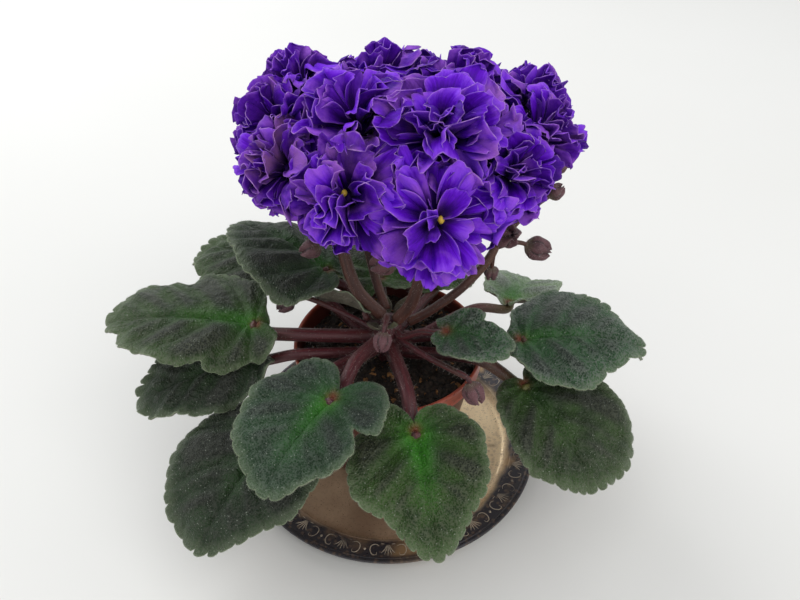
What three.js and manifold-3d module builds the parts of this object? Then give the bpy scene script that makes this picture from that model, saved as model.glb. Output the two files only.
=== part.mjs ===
// A potted African violet in full bloom on its saucer: a rosette of scalloped leaves on maroon
// stalks, and a dome of double ruffled blooms. Millimetres, +Z up. The origin is where the axis
// of the pot and the saucer meets the table, and the front of the plant looks along -Y.
import * as THREE from 'three';
import { mergeVertices } from 'three/addons/utils/BufferGeometryUtils.js';
import Module from 'manifold-3d';

const wasm = await Module();
wasm.setup();

// ---- driving dimensions -------------------------------------------------------------------

const GAP = 0.35;
const MERGE = 1e-4;
const UP = new THREE.Vector3(0, 0, 1);

const SAUCER = {
  footRadius: 58, wellRadius: 60, wellStep: 4, grooveRadius: 64, grooveTop: 4.8, bandUnder: 2.6, bandTop: 5.6,
  rimRadius: 77, rimTop: 8, bead: 2.4, sheet: 2.2, sides: 40,
};

const POT = {
  rimRadius: 45, rimTop: 75, rimDepth: 9, rimStep: 1.8, rimTaper: 0.6, neckStep: 1, baseRadius: 32, wall: 1.5,
  sides: 32, drainHoles: 4, drainRadius: 3.5, drainCircle: 18, drainSides: 10,
};
const POT_FOOT = SAUCER.sheet + GAP;

const SOIL = { top: 68, bump: 1.3, rings: [31, 21, 13], play: 1, sides: 28 };

const CROWN = { radius: 7.5, foot: 44, top: 90, chamfer: 2, sides: 12 };

// The new leaves on top of the crown, by azimuth, each with few scallops.
const NEW_LEAF = { azimuths: [45, 225], width: 7, reach: 6, rise: 6.5, scallops: 5 };

// Blades: `inner` is the share of the reach at which the inner ring of corners lies. The outline
// has a notch behind the heart and a slight point at the tip, each with its depth and its spread.
const LEAF = {
  thickness: 0.9, scallops: 18, scallopDepth: 0.04, inner: 0.52, notchDepth: 0.72, notchSpread: 0.4,
  pointHeight: 0.05, pointSpread: 0.25, stalkSides: 6, stalkSteps: 6, stalkOut: 2.5,
};

// Each leaf: heart (where the stalk meets the blade) and tip of the blade, blade width, reach of
// the lobes behind the heart as a share of the midrib, roll about the midrib in degrees, height of
// the arch from heart to tip, lift of the sides, depth and phase of the wave in the rim, stalk
// radius, where the stalk leaves the crown (azimuth in degrees and height), and the point that
// the stalk passes over the rim of the pot. `outline` says how far the real blade reaches at even
// steps round the heart, from behind it by the right-hand side, as shares of an even heart shape.
const EVEN = [1];
const LEAVES = [
  { name: 'left', heart: [-62, -3, 89], tip: [-133, 2, 85], width: 62, lobes: 0.15,
    roll: -6, arch: 5, lift: -3, wave: 5, phase: 0.4, stalk: 3.4, from: [186, 79], over: [-42, -5, 83.5],
    outline: [1.1, 0.62, 0.62, 1.05, 1.15, 1.1, 0.97, 0.93, 0.9, 0.93, 1.38, 1.38] },
  { name: 'left_low', heart: [-61, -14, 79], tip: [-115, -27, 61], width: 52, lobes: 0.15,
    roll: -5, arch: 4, lift: -2, wave: 2, phase: 1.5, stalk: 2.7, from: [204, 72], over: [-43, -14, 79.4],
    outline: [1, 1, 1, 1, 1, 1.02, 1, 0.88, 0.86, 0.9, 1, 1] },
  { name: 'left_back', heart: [-29, 18, 105], tip: [-78, 46, 112], width: 60, lobes: 0.24,
    roll: 12, arch: 5, lift: -4, wave: 2, phase: 0.2, stalk: 2.6, from: [128, 84], over: [-17, 15, 93],
    outline: [1, 0.85, 0.75, 0.75, 0.77, 0.85, 0.9, 0.93, 1.05, 1.2, 1.05, 0.95] },
  { name: 'left_back_low', heart: [-50, 42, 84], tip: [-102, 70, 78], width: 54, lobes: 0.15,
    roll: 0, arch: 5, lift: -4, wave: 2, phase: 2.1, stalk: 2.6, from: [150, 71], over: [-35, 28, 81],
    outline: EVEN },
  { name: 'front_left_low', heart: [-47, -50, 70], tip: [-79, -90, 41], width: 62, lobes: 0.2,
    roll: -3, arch: 5, lift: -3, wave: 2, phase: 2.8, stalk: 3, from: [226, 76], over: [-32, -33, 80.5],
    outline: [1, 1, 1.05, 1.1, 1.15, 1.07, 0.97, 0.84, 0.94, 1.08, 1, 1] },
  { name: 'front_left', heart: [-23, -53, 93], tip: [-48, -90, 80], width: 64, lobes: 0.34,
    roll: 5, arch: 4, lift: 3, wave: 3, phase: 3.6, stalk: 3, from: [244, 84], over: [-14, -28, 89],
    outline: [1.2, 1.13, 1.2, 1.1, 0.88, 0.95, 0.96, 0.79, 0.81, 1.04, 1.15, 1.28] },
  { name: 'front', heart: [12, -61, 81], tip: [20, -101, 58], width: 60, lobes: 0.3,
    roll: 2, arch: 5, lift: 3, wave: 2, phase: 4.4, stalk: 3.2, from: [282, 77], over: [8.5, -40, 83],
    outline: [1.25, 1.22, 1, 1.04, 1, 0.88, 1, 0.89, 0.86, 0.99, 1.02, 0.93] },
  { name: 'right_low', heart: [62, -29, 75], tip: [90, -63, 47], width: 60, lobes: 0.14,
    roll: 4, arch: 5, lift: -3, wave: 2, phase: 5.2, stalk: 3, from: [334, 72], over: [42, -19, 81],
    outline: [1, 1, 1, 0.9, 0.81, 0.88, 1.02, 1.15, 1.12, 0.99, 1, 1] },
  { name: 'right', heart: [61, -14, 90], tip: [118, -11, 82], width: 60, lobes: 0.14,
    roll: 2, arch: 5, lift: -3, wave: 3, phase: 0.9, stalk: 2.8, from: [350, 79], over: [38, -7, 86],
    outline: [1.25, 1, 1.15, 1.12, 0.94, 0.82, 0.98, 0.94, 1.18, 1.12, 0.75, 0.9] },
  { name: 'right_back', heart: [60, 23, 81], tip: [80, 56, 64], width: 38, lobes: 0.15,
    roll: -6, arch: 5, lift: 3, wave: 2, phase: 1.7, stalk: 2.4, from: [18, 72], over: [42, 15, 82],
    outline: EVEN },
  { name: 'back_right', heart: [24, 37, 82], tip: [32, 84, 75], width: 42, lobes: 0.2,
    roll: 0, arch: 5, lift: -3, wave: 2, phase: 2.5, stalk: 2.4, from: [50, 78], over: [17, 25, 77.5],
    outline: EVEN },
  { name: 'back', heart: [-4, 32, 89], tip: [-6, 88, 87], width: 48, lobes: 0.25,
    roll: 0, arch: 5, lift: -3, wave: 2, phase: 3.3, stalk: 2.4, from: [96, 76], over: [-3, 21, 81],
    outline: EVEN },
  { name: 'back_left', heart: [-25, 48, 79], tip: [-42, 92, 69], width: 48, lobes: 0.15,
    roll: 0, arch: 5, lift: -3, wave: 2, phase: 4.1, stalk: 2.6, from: [112, 78], over: [-20, 37.5, 79.5],
    outline: EVEN },
  { name: 'young_right', heart: [27, -18, 98], tip: [55, -28, 97], width: 29, lobes: 0.28,
    roll: 14, arch: 3, lift: 3, wave: 1, phase: 4.9, stalk: 1.6, from: [310, 85], over: [15, -12, 92],
    outline: [1.1, 1, 0.92, 1.1, 1.1, 1, 0.95, 0.8, 0.78, 0.8, 0.82, 1.1] },
  { name: 'young_left', heart: [-10, 1, 93], tip: [-35, 12, 90], width: 17, lobes: 0.15,
    roll: 40, arch: 2, lift: 5, wave: 1, phase: 5.7, stalk: 1.5, from: [163, 84], over: [-10.5, 1.5, 88.5],
    outline: EVEN },
];

// Blooms: `middle` and `cleft` are the shares of a collar's reach at a petal's centre and at the
// cleft beside it, `fall` is how much shorter a petal is at its sides, and `reach` is how near
// two blooms are when they press on each other.
const BLOOM = { petal: 0.75, tube: 9, tubeRadius: 1.6, middle: 0.5, cleft: 0.44, fall: 0.12, reach: 48 };
const DOME_FOCUS = [8, 6, 140];

// Collars of petals in one bloom from the outside inwards: how many petals, points along the edge
// of each, reach from the root, radius and height of the root, the opening angle from the bloom's
// axis at the root and at the edge in degrees, the depth of the ruffle, and the turn.
const COLLARS = [
  { petals: 5, edge: 4, reach: 25, root: 2.6, rise: 0, opening: [62, 88], ruffle: 2.6, turn: 0 },
  { petals: 5, edge: 3, reach: 18, root: 2, rise: 1.2, opening: [36, 62], ruffle: 2.8, turn: 36 },
  { petals: 3, edge: 3, reach: 12.5, root: 1.3, rise: 2.4, opening: [14, 44], ruffle: 2.2, turn: 10 },
];

// Centres of the blooms, grouped by the flower stalk that carries them. Each stalk has its root
// on the crown, the points it passes, its radius, and its buds as centre and radius.
const STALKS = [
  { name: 'left', radius: 2.9, path: [[-3, 0, 91], [-14, 3, 104], [-20, 8, 124], [-22, 10, 136]],
    blooms: [[-13, -25, 171], [-11, -1, 187], [-37, -7, 172], [-43, 19, 177]],
    buds: [{ at: [-33, 8, 124], size: 4.6 }] },
  { name: 'back', radius: 2.1, path: [[-1, 4, 91], [-7, 17, 104], [-12, 32, 126], [-12, 36, 136]],
    blooms: [[-36, 41, 183], [-3, 38, 185], [-24, 60, 161], [-50, 42, 155]],
    buds: [] },
  { name: 'center', radius: 2.8, path: [[4, -3, 91], [10, -3, 100], [15.5, -1, 122], [16, 0, 136]],
    blooms: [[18, -31, 166], [21, -8, 186], [27, 26, 187], [10, 62, 165]],
    buds: [] },
  { name: 'right', radius: 2.1, path: [[9.5, 1, 86], [18, 2, 91], [35, 5, 105], [48, 12, 121], [48, 16, 134]],
    blooms: [[45, -12, 173], [59, 10, 176], [59.5, 37, 178], [43, 59, 162]],
    buds: [{ at: [51, 5, 133], size: 6 }, { at: [66, 12, 121], size: 5.6 }, { at: [48, 15, 105], size: 3.6 },
      { at: [74, 26, 141], size: 3.8 }, { at: [77, 36, 148], size: 3.2 }] },
];

// Pedicels of the blooms and the buds, and how far a pedicel runs straight behind its bloom.
const PEDICEL = { radius: 1.3, budRadius: 1.1, sides: 4, steps: 3, straight: 5 };

const STEM = { sides: 6, steps: 6 };
const BUD_STEM = { sides: 5, steps: 7 };

// Young flower stalks that carry only a nodding bud.
const BUD_STALKS = [
  { name: 'center', radius: 1.4, path: [[-1.5, -5, 91], [-1, -10, 98], [0, -15, 104], [-1, -20, 103]],
    bud: { at: [-2, -24, 96.5], size: 4.4 } },
  { name: 'right', radius: 1.4, path: [[5, -7.5, 83], [14, -20, 87], [27, -31, 88], [34, -35, 87]],
    bud: { at: [37, -37.5, 81], size: 5 } },
  { name: 'left', radius: 1.3, path: [[-7.1, -3.4, 86], [-20, 2, 90], [-36, 7, 95], [-42, 7, 97]],
    bud: { at: [-47, 5, 94], size: 4 } },
];

// ---- solids ---------------------------------------------------------------------------------

/** Geometry with shared corners merged, collapsed triangles dropped and its faces outwards. */
function closed(geometry) {
  const plain = new THREE.BufferGeometry();
  plain.setAttribute('position', geometry.getAttribute('position').clone());
  plain.setIndex(geometry.getIndex());
  const merged = mergeVertices(plain, MERGE);
  const index = Array.from(merged.getIndex().array);
  const kept = [];
  let volume = 0;
  const [a, b, c] = [new THREE.Vector3(), new THREE.Vector3(), new THREE.Vector3()];
  const position = merged.getAttribute('position');
  for (let i = 0; i < index.length; i += 3) {
    const [p, q, r] = [index[i], index[i + 1], index[i + 2]];
    if (p === q || q === r || r === p) {
      continue;
    }
    kept.push([p, q, r]);
    a.fromBufferAttribute(position, p);
    b.fromBufferAttribute(position, q);
    c.fromBufferAttribute(position, r);
    volume += a.dot(b.cross(c));
  }
  merged.setIndex((volume < 0 ? kept.map(([p, q, r]) => [p, r, q]) : kept).flat());
  return merged;
}

/** Solid of a closed geometry, ready to be joined and cut. */
function solidOf(geometry) {
  const shape = closed(geometry);
  return new wasm.Manifold(new wasm.Mesh({
    numProp: 3,
    vertProperties: new Float32Array(shape.getAttribute('position').array),
    triVerts: new Uint32Array(shape.getIndex().array),
  }));
}

/** Geometry of a solid. */
function geometryOf(solid) {
  const { vertProperties, triVerts } = solid.getMesh();
  const geometry = new THREE.BufferGeometry();
  geometry.setAttribute('position', new THREE.BufferAttribute(new Float32Array(vertProperties), 3));
  geometry.setIndex(Array.from(triVerts));
  return geometry;
}

/** The largest of a solid's separate bodies, without the loose scraps that a cut leaves. */
function mainBody(solid) {
  return solid.decompose().reduce((best, body) => (body.volume() > best.volume() ? body : best));
}

/** All of the solids joined into one. */
function joined(solids) {
  return solids.reduce((whole, solid) => whole.add(solid));
}

/** Whether two solids' boxes come within the gap of each other. */
function near(one, other) {
  const [p, q] = [one.boundingBox(), other.boundingBox()];
  return [0, 1, 2].every((axis) => p.min[axis] < q.max[axis] + GAP && q.min[axis] < p.max[axis] + GAP);
}

/** A solid less every one of the cutters that comes near it. */
function clearOf(solid, cutters) {
  const touching = cutters.filter((cutter) => near(solid, cutter) && !solid.intersect(cutter).isEmpty());
  return mainBody(touching.reduce((rest, cutter) => rest.subtract(cutter), solid));
}

/** A solid turned about the Z axis from a profile of [radius, height] points. */
function turned(profile, sides) {
  const points = profile.map(([radius, height]) => new THREE.Vector2(radius, height));
  return new THREE.LatheGeometry(points, sides).rotateX(Math.PI / 2);
}

/** A round rod along a smooth curve through the points, bigger by `extra` on every side. */
function rod(points, radius, sides, steps, extra = 0) {
  const reach = radius + extra;
  const section = new THREE.Shape(Array.from({ length: sides }, (_, i) => {
    const turn = (i * 2 * Math.PI) / sides;
    return new THREE.Vector2(reach * Math.cos(turn), reach * Math.sin(turn));
  }));
  const route = points.map((point) => point.clone());
  const stretch = (end, inner) => end.addScaledVector(end.clone().sub(inner).normalize(), extra);
  stretch(route[0], points[1]);
  stretch(route[route.length - 1], points[points.length - 2]);
  const path = new THREE.CatmullRomCurve3(route);
  return new THREE.ExtrudeGeometry(section, { steps, extrudePath: path, bevelEnabled: false });
}

/** Vectors of a list of [x, y, z] points. */
function vectors(points) {
  return points.map((point) => new THREE.Vector3(...point));
}

/**
 * A sheet of triangles given its thickness, split alike on both faces: vertices of the top and
 * then of the bottom, and faces. Between the first `open` points the edge is left open.
 */
function thickened(points, triangles, thickness, open = 0) {
  const normals = points.map(() => new THREE.Vector3());
  const edges = new Set();
  for (const [a, b, c] of triangles) {
    const ab = points[b].clone().sub(points[a]);
    const face = ab.cross(points[c].clone().sub(points[a]));
    [a, b, c].forEach((corner) => normals[corner].add(face));
    [[a, b], [b, c], [c, a]].forEach(([p, q]) => edges.add(`${p},${q}`));
  }
  normals.forEach((normal) => normal.setLength(thickness / 2));
  const top = points.map((point, i) => point.clone().add(normals[i]));
  const bottom = points.map((point, i) => point.clone().sub(normals[i]));
  const under = points.length;
  const faces = triangles.flatMap(([a, b, c]) => [[a, b, c], [under + c, under + b, under + a]]);
  for (const edge of edges) {
    const [a, b] = edge.split(',').map(Number);
    const isOpen = a < open && b < open;
    if (!edges.has(`${b},${a}`) && !isOpen) {
      faces.push([b, a, under + a], [b, under + a, under + b]);
    }
  }
  return { vertices: [...top, ...bottom], faces };
}

/** Geometry of a list of vertices and faces. */
function meshOf({ vertices, faces }) {
  const geometry = new THREE.BufferGeometry();
  geometry.setFromPoints(vertices);
  geometry.setIndex(faces.flat());
  return geometry;
}

/** A repeatable number from 0 to 1 for a pair of counters. */
function chance(i, k) {
  const wave = Math.sin(i * 12.9898 + k * 78.233) * 43758.5453;
  return wave - Math.floor(wave);
}

/** Three axes of a frame whose third axis is the normal and whose first lies near `along`. */
function frameOf(along, normal) {
  const first = along.clone().normalize();
  const third = normal.clone().addScaledVector(first, -normal.dot(first)).normalize();
  return [first, third.clone().cross(first), third];
}

// ---- holder ---------------------------------------------------------------------------------

/** The saucer: a flat foot, a shallow well, a groove and a raised flat band with a beaded rim. */
function saucerShape() {
  const { footRadius, wellRadius, grooveRadius, rimRadius, rimTop, bead, sheet } = SAUCER;
  return turned([
    [0, 0],
    [footRadius, 0],
    [grooveRadius, SAUCER.bandUnder],
    [rimRadius - 0.4 * bead, rimTop - 0.9 * bead],
    [rimRadius, rimTop - 0.4 * bead],
    [rimRadius - 0.3 * bead, rimTop],
    [rimRadius - bead, rimTop - 0.3 * bead],
    [grooveRadius + 1, SAUCER.bandTop],
    [grooveRadius - 0.6, SAUCER.grooveTop],
    [wellRadius, sheet + 0.4],
    [wellRadius - SAUCER.wellStep, sheet],
    [0, sheet],
  ], SAUCER.sides);
}

/** The pot: a tapered wall under a collar rim, open at the top, with drain holes in its floor. */
function potShape() {
  const { rimRadius, rimTop, rimDepth, rimTaper, baseRadius, wall, drainHoles, drainRadius } = POT;
  const neck = rimRadius - POT.rimStep - POT.neckStep;
  const rimFoot = rimTop - rimDepth;
  const wallFoot = POT_FOOT + wall;
  const shell = solidOf(turned([
    [0, POT_FOOT],
    [baseRadius, POT_FOOT],
    [neck, rimFoot],
    [rimRadius - rimTaper, rimFoot],
    [rimRadius, rimTop],
    [rimRadius - wall, rimTop],
    [rimRadius - wall - rimTaper, rimFoot + wall],
    [neck - wall, rimFoot - wall],
    [baseRadius - wall, wallFoot],
    [0, wallFoot],
  ], POT.sides));
  const holes = Array.from({ length: drainHoles }, (_, i) => {
    const turn = ((i + 0.5) * 2 * Math.PI) / drainHoles;
    const hole = new THREE.CylinderGeometry(drainRadius, drainRadius, 4 * wall, POT.drainSides);
    hole.rotateX(Math.PI / 2);
    hole.translate(POT.drainCircle * Math.cos(turn), POT.drainCircle * Math.sin(turn), POT_FOOT + wall / 2);
    return solidOf(hole);
  });
  return geometryOf(shell.subtract(joined(holes)));
}

/** The soil: it fills the pot to a rough surface, with a plain hole that the crown stands in. */
function soilShape() {
  const { top, bump, rings, play, sides } = SOIL;
  const floor = POT_FOOT + POT.wall + GAP;
  const footRadius = POT.baseRadius - POT.wall - play;
  const topRadius = POT.rimRadius - POT.rimStep - POT.neckStep - POT.wall - play;
  const neckHeight = POT.rimTop - POT.rimDepth - POT.wall - 2 * play;
  const hole = CROWN.radius + GAP;
  const shape = closed(turned([
    [0, floor],
    [footRadius, floor],
    [topRadius, neckHeight],
    [topRadius, top],
    ...rings.map((radius) => [radius, top]),
    [hole, top],
    [hole, CROWN.foot - GAP],
    [0, CROWN.foot - GAP],
  ], sides));
  const position = shape.getAttribute('position');
  for (let i = 0; i < position.count; i += 1) {
    const [x, y] = [position.getX(i), position.getY(i)];
    if (position.getZ(i) > top - MERGE) {
      position.setZ(i, top + bump * (chance(Math.round(x), Math.round(y)) - 0.5));
    }
  }
  return shape;
}

/** The crown: the short stem that stands in the soil, with small new leaves round its top. */
function crownSolid(extra = 0) {
  const { foot, chamfer, sides } = CROWN;
  const [radius, top] = [CROWN.radius + extra, CROWN.top + extra];
  const stem = solidOf(turned([
    [0, foot],
    [radius - chamfer, foot],
    [radius, foot + 6 * chamfer],
    [radius, top - chamfer],
    [radius - chamfer, top],
    [0, top],
  ], sides));
  const newLeaves = NEW_LEAF.azimuths.map((azimuth) => {
    const turn = THREE.MathUtils.degToRad(azimuth);
    const out = new THREE.Vector3(Math.cos(turn), Math.sin(turn), 0);
    const heart = out.clone().multiplyScalar(radius - chamfer / 2).setZ(top - chamfer);
    const tip = heart.clone().addScaledVector(out, NEW_LEAF.reach).addScaledVector(UP, NEW_LEAF.rise);
    const plain = { lobes: 0.15, roll: 0, arch: 0, lift: 1, wave: 0, phase: 0, outline: EVEN };
    const leaf = { heart: heart.toArray(), tip: tip.toArray(), width: NEW_LEAF.width, ...plain };
    return solidOf(leafBlade(leaf, NEW_LEAF.scallops));
  });
  return joined([stem, ...newLeaves]);
}

// ---- leaves ---------------------------------------------------------------------------------

/** A leaf's frame: along the midrib, across the blade, and up out of its face. */
function leafFrame({ heart, tip, roll }) {
  const origin = new THREE.Vector3(...heart);
  const axis = new THREE.Vector3(...tip).sub(origin);
  const [along, across, up] = frameOf(axis, UP);
  const turn = THREE.MathUtils.degToRad(roll);
  across.applyAxisAngle(along, turn);
  up.applyAxisAngle(along, turn);
  return { origin, length: axis.length(), along, across, up };
}

/** Outline of a heart-shaped blade: its reach from the heart at an angle from the tip. */
function leafReach(angle, length, width, lobes) {
  const middle = ((1 - lobes) / 2) * length;
  const [halfLength, halfWidth] = [length - middle, width / 2];
  const [c, s] = [Math.cos(angle) / halfLength, Math.sin(angle) / halfWidth];
  const k = (middle / halfLength) * c;
  const spread = c * c + s * s;
  const ellipse = (k + Math.sqrt(k * k - spread * ((middle / halfLength) ** 2 - 1))) / spread;
  const notch = 1 - LEAF.notchDepth * Math.exp(-(((Math.PI - Math.abs(angle)) / LEAF.notchSpread) ** 2));
  return ellipse * notch * (1 + LEAF.pointHeight * Math.exp(-((angle / LEAF.pointSpread) ** 2)));
}

/** How far a blade reaches at an angle from its tip, as a share of the even heart shape. */
function outlineShare(angle, outline) {
  const place = ((angle + Math.PI) / (2 * Math.PI)) * outline.length;
  const step = Math.floor(place);
  const [here, next] = [step, step + 1].map((stop) => outline[stop % outline.length]);
  return THREE.MathUtils.lerp(here, next, THREE.MathUtils.smoothstep(place - step, 0, 1));
}

/** A leaf's blade with its scalloped rim, arched along the midrib, bigger by `extra` all round. */
function leafBlade(leaf, scallops = LEAF.scallops, extra = 0) {
  const { origin, length, along, across, up } = leafFrame(leaf);
  const { width, lobes, arch, lift, wave, phase, outline } = leaf;
  const place = (angle, share) => {
    const even = leafReach(angle, length, width, lobes);
    const reach = (even * outlineShare(angle, outline) + 1.3 * extra) * share;
    const [u, v] = [reach * Math.cos(angle), reach * Math.sin(angle)];
    const run = u / length;
    const bow = run > 0 ? 4 * arch * run * (1 - run) : 1.2 * arch * run;
    const side = lift * ((2 * v) / width) ** 2;
    const calm = Math.min(1, 2 * Math.abs(Math.sin(angle)));
    const ripple = wave * share ** 2 * Math.sin(3 * angle + phase) * calm;
    const point = origin.clone().addScaledVector(along, u).addScaledVector(across, v);
    return point.addScaledVector(up, bow + side + ripple);
  };
  const points = [origin.clone()];
  const triangles = [];
  for (let i = 0; i < scallops; i += 1) {
    points.push(place((i * 2 * Math.PI) / scallops - Math.PI, LEAF.inner));
  }
  for (let i = 0; i < 2 * scallops; i += 1) {
    const crest = i % 2 === 0 ? 1 - LEAF.scallopDepth : 1 + LEAF.scallopDepth;
    const angle = (i * Math.PI) / scallops - Math.PI;
    points.push(place(angle, angle === 0 ? 1 : crest));
  }
  for (let i = 0; i < scallops; i += 1) {
    const [a, b] = [1 + i, 1 + ((i + 1) % scallops)];
    const rim = 1 + scallops + 2 * i;
    const next = 1 + scallops + ((2 * i + 2) % (2 * scallops));
    triangles.push([0, a, b], [a, rim, rim + 1], [a, rim + 1, b], [b, rim + 1, next]);
  }
  return meshOf(thickened(points, triangles, LEAF.thickness + 2 * extra));
}

/** The route of a leaf's stalk: out of the crown, over the rim of the pot, up under the heart. */
function leafStalkPath(leaf) {
  const { origin, along, up } = leafFrame(leaf);
  const [azimuth, height] = leaf.from;
  const turn = THREE.MathUtils.degToRad(azimuth);
  const out = new THREE.Vector3(Math.cos(turn), Math.sin(turn), 0);
  const root = out.clone().multiplyScalar(CROWN.radius + GAP).setZ(height);
  const seat = origin.clone().addScaledVector(up, -LEAF.thickness).addScaledVector(along, 0.6 * leaf.stalk);
  const bend = seat.clone().addScaledVector(up, -1.5 * leaf.stalk).addScaledVector(along, -leaf.stalk);
  const start = root.clone().addScaledVector(out, LEAF.stalkOut);
  return [root, start, new THREE.Vector3(...leaf.over), bend, seat];
}

/** A leaf's stalk, thicker by `extra` all round. */
function leafStalk(leaf, extra = 0) {
  return solidOf(rod(leafStalkPath(leaf), leaf.stalk, LEAF.stalkSides, LEAF.stalkSteps, extra));
}

// ---- blooms and flower stalks -----------------------------------------------------------------

/** A bloom's frame: its centre, the way it faces, and two axes across. */
function bloomFrame(center, turn) {
  const origin = new THREE.Vector3(...center);
  const facing = origin.clone().sub(new THREE.Vector3(...DOME_FOCUS)).normalize();
  const [, across, axis] = frameOf(new THREE.Vector3(-facing.y, facing.x, 0.2), facing);
  const first = across.applyAxisAngle(axis, turn);
  return { origin, first, second: axis.clone().cross(first), axis };
}

/** A point of a collar, in a direction round the axis and at a share of the collar's reach. */
function collarPoint(frame, collar, direction, share, ripple = 0) {
  const radial = frame.first.clone().multiplyScalar(Math.cos(direction));
  radial.addScaledVector(frame.second, Math.sin(direction));
  const open = THREE.MathUtils.degToRad(THREE.MathUtils.lerp(...collar.opening, share));
  const reach = collar.reach * share;
  const point = frame.origin.clone();
  point.addScaledVector(radial, collar.root + reach * Math.sin(open) + ripple * Math.cos(open));
  return point.addScaledVector(frame.axis, collar.rise + reach * Math.cos(open) - ripple * Math.sin(open));
}

/** One collar: petals joined round an open root ring, parted by clefts and ruffled at the edge. */
function collarSheet(frame, collar, seed) {
  const { petals, edge, ruffle } = collar;
  const lobe = (2 * Math.PI) / petals;
  const turn = THREE.MathUtils.degToRad(collar.turn);
  const directions = Array.from({ length: petals }, (_, i) => i * lobe + turn);
  const points = directions.map((direction) => collarPoint(frame, collar, direction, 0));
  const triangles = [];
  directions.forEach((direction, i) => {
    const size = 0.88 + 0.24 * chance(seed, i);
    points.push(collarPoint(frame, collar, direction, BLOOM.middle * size));
    points.push(collarPoint(frame, collar, direction - lobe / 2, BLOOM.cleft));
    for (let j = 0; j < edge; j += 1) {
      const t = (2 * (j + 0.5)) / edge - 1;
      const ripple = ruffle * (j % 2 === 0 ? 1 : -1) * (0.6 + 0.8 * chance(seed + i, j));
      const share = size * (1 - BLOOM.fall * t * t);
      points.push(collarPoint(frame, collar, direction + 0.5 * t * lobe, share, ripple));
    }
  });
  const stride = edge + 2;
  for (let i = 0; i < petals; i += 1) {
    const next = (i + 1) % petals;
    const [middle, nextMiddle] = [petals + i * stride, petals + next * stride];
    const rim = [...Array.from({ length: edge + 1 }, (_, j) => middle + 1 + j), nextMiddle + 1];
    triangles.push([i, middle, nextMiddle], [i, nextMiddle, next], [middle, nextMiddle + 1, nextMiddle]);
    for (let j = 0; j < rim.length - 1; j += 1) {
      triangles.push([middle, rim[j], rim[j + 1]]);
    }
  }
  return thickened(points, triangles, BLOOM.petal, petals);
}

/** Faces of a band between two rings of vertices round the same axis, `lower` and `upper`. */
function band(lower, upper) {
  const faces = [];
  const [n, m] = [lower.length, upper.length];
  let [i, j] = [0, 0];
  while (i < n || j < m) {
    const [a, b] = [lower[i % n], upper[j % m]];
    if (j === m || (i < n && (i + 1) / n <= (j + 1) / m)) {
      faces.push([a, lower[(i + 1) % n], b]);
      i += 1;
    } else {
      faces.push([a, upper[(j + 1) % m], b]);
      j += 1;
    }
  }
  return faces;
}

/** Faces that close a ring of vertices. */
function fan(ring) {
  return ring.slice(2).map((corner, i) => [ring[0], ring[i + 1], corner]);
}

/** A whole bloom in one skin: its tube, then each collar in turn, up to the closed throat. */
function bloomSolid(center, seed) {
  const frame = bloomFrame(center, chance(seed, 90) * 2 * Math.PI);
  const foot = { ...COLLARS[0], root: BLOOM.tubeRadius, rise: -BLOOM.tube };
  const vertices = Array.from({ length: foot.petals }, (_, i) => (
    collarPoint(frame, foot, (i * 2 * Math.PI) / foot.petals, 0)
  ));
  let ring = vertices.map((_, i) => i);
  const faces = fan([...ring].reverse());
  COLLARS.forEach((collar, layer) => {
    const sheet = collarSheet(frame, collar, 7 * seed + layer);
    const start = vertices.length;
    const top = Array.from({ length: collar.petals }, (_, i) => start + i);
    const bottom = top.map((index) => index + sheet.vertices.length / 2);
    vertices.push(...sheet.vertices);
    faces.push(...band(ring, bottom), ...sheet.faces.map((face) => face.map((index) => index + start)));
    ring = top;
  });
  faces.push(...fan(ring));
  return solidOf(meshOf({ vertices, faces }));
}

/** A bloom kept to its own side of the halfway plane to each of its neighbours. */
function parted(solid, center, neighbours) {
  const own = new THREE.Vector3(...center);
  return neighbours.reduce((rest, other) => {
    const away = own.clone().sub(new THREE.Vector3(...other));
    const distance = away.length();
    if (distance === 0 || distance > BLOOM.reach) {
      return rest;
    }
    const plane = away.normalize();
    const halfway = own.dot(plane) - distance / 2;
    return rest.trimByPlane(plane.toArray(), halfway + GAP / 2);
  }, solid);
}

/** Where a bloom's tube meets its flower stalk. */
function bloomSeat(center) {
  const { origin, axis } = bloomFrame(center, 0);
  return origin.addScaledVector(axis, -BLOOM.tube - GAP);
}

/** The pedicel of a bloom, from the top of its flower stalk to the calyx behind the bloom. */
function pedicelPath(hub, center) {
  const seat = bloomSeat(center);
  const back = seat.clone().addScaledVector(bloomFrame(center, 0).axis, -PEDICEL.straight);
  return [hub, hub.clone().lerp(back, 0.5).addScaledVector(UP, -1.5), back, seat];
}

/** A closed pointed bud that hangs or stands away from a point on its pedicel. */
function budSolid({ at, size }, from, extra) {
  const reach = size + extra;
  const bud = turned([[0, -reach], [0.75 * reach, -0.6 * reach], [reach, 0.1 * reach], [0, 1.4 * reach]], 6);
  const center = new THREE.Vector3(...at);
  bud.applyQuaternion(new THREE.Quaternion().setFromUnitVectors(UP, center.clone().sub(from).normalize()));
  bud.translate(...at);
  return solidOf(bud);
}

/** A flower stalk with its pedicels and buds, each piece bigger by `extra` on every side. */
function flowerStalk({ radius, path, blooms, buds }, extra = 0) {
  const route = vectors(path);
  const hub = route[route.length - 1];
  const fork = route[route.length - 2];
  const stem = solidOf(rod(route, radius, STEM.sides, STEM.steps, extra));
  const thin = (points, size) => solidOf(rod(points, size, PEDICEL.sides, PEDICEL.steps, extra));
  const pedicels = blooms.map((center) => thin(pedicelPath(hub, center), PEDICEL.radius));
  const budded = buds.flatMap((bud) => {
    const end = new THREE.Vector3(...bud.at);
    const middle = fork.clone().lerp(end, 0.55).addScaledVector(UP, 3);
    return [thin([fork, middle, end], PEDICEL.budRadius), budSolid(bud, middle, extra)];
  });
  return [stem, ...pedicels, ...budded];
}

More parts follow.
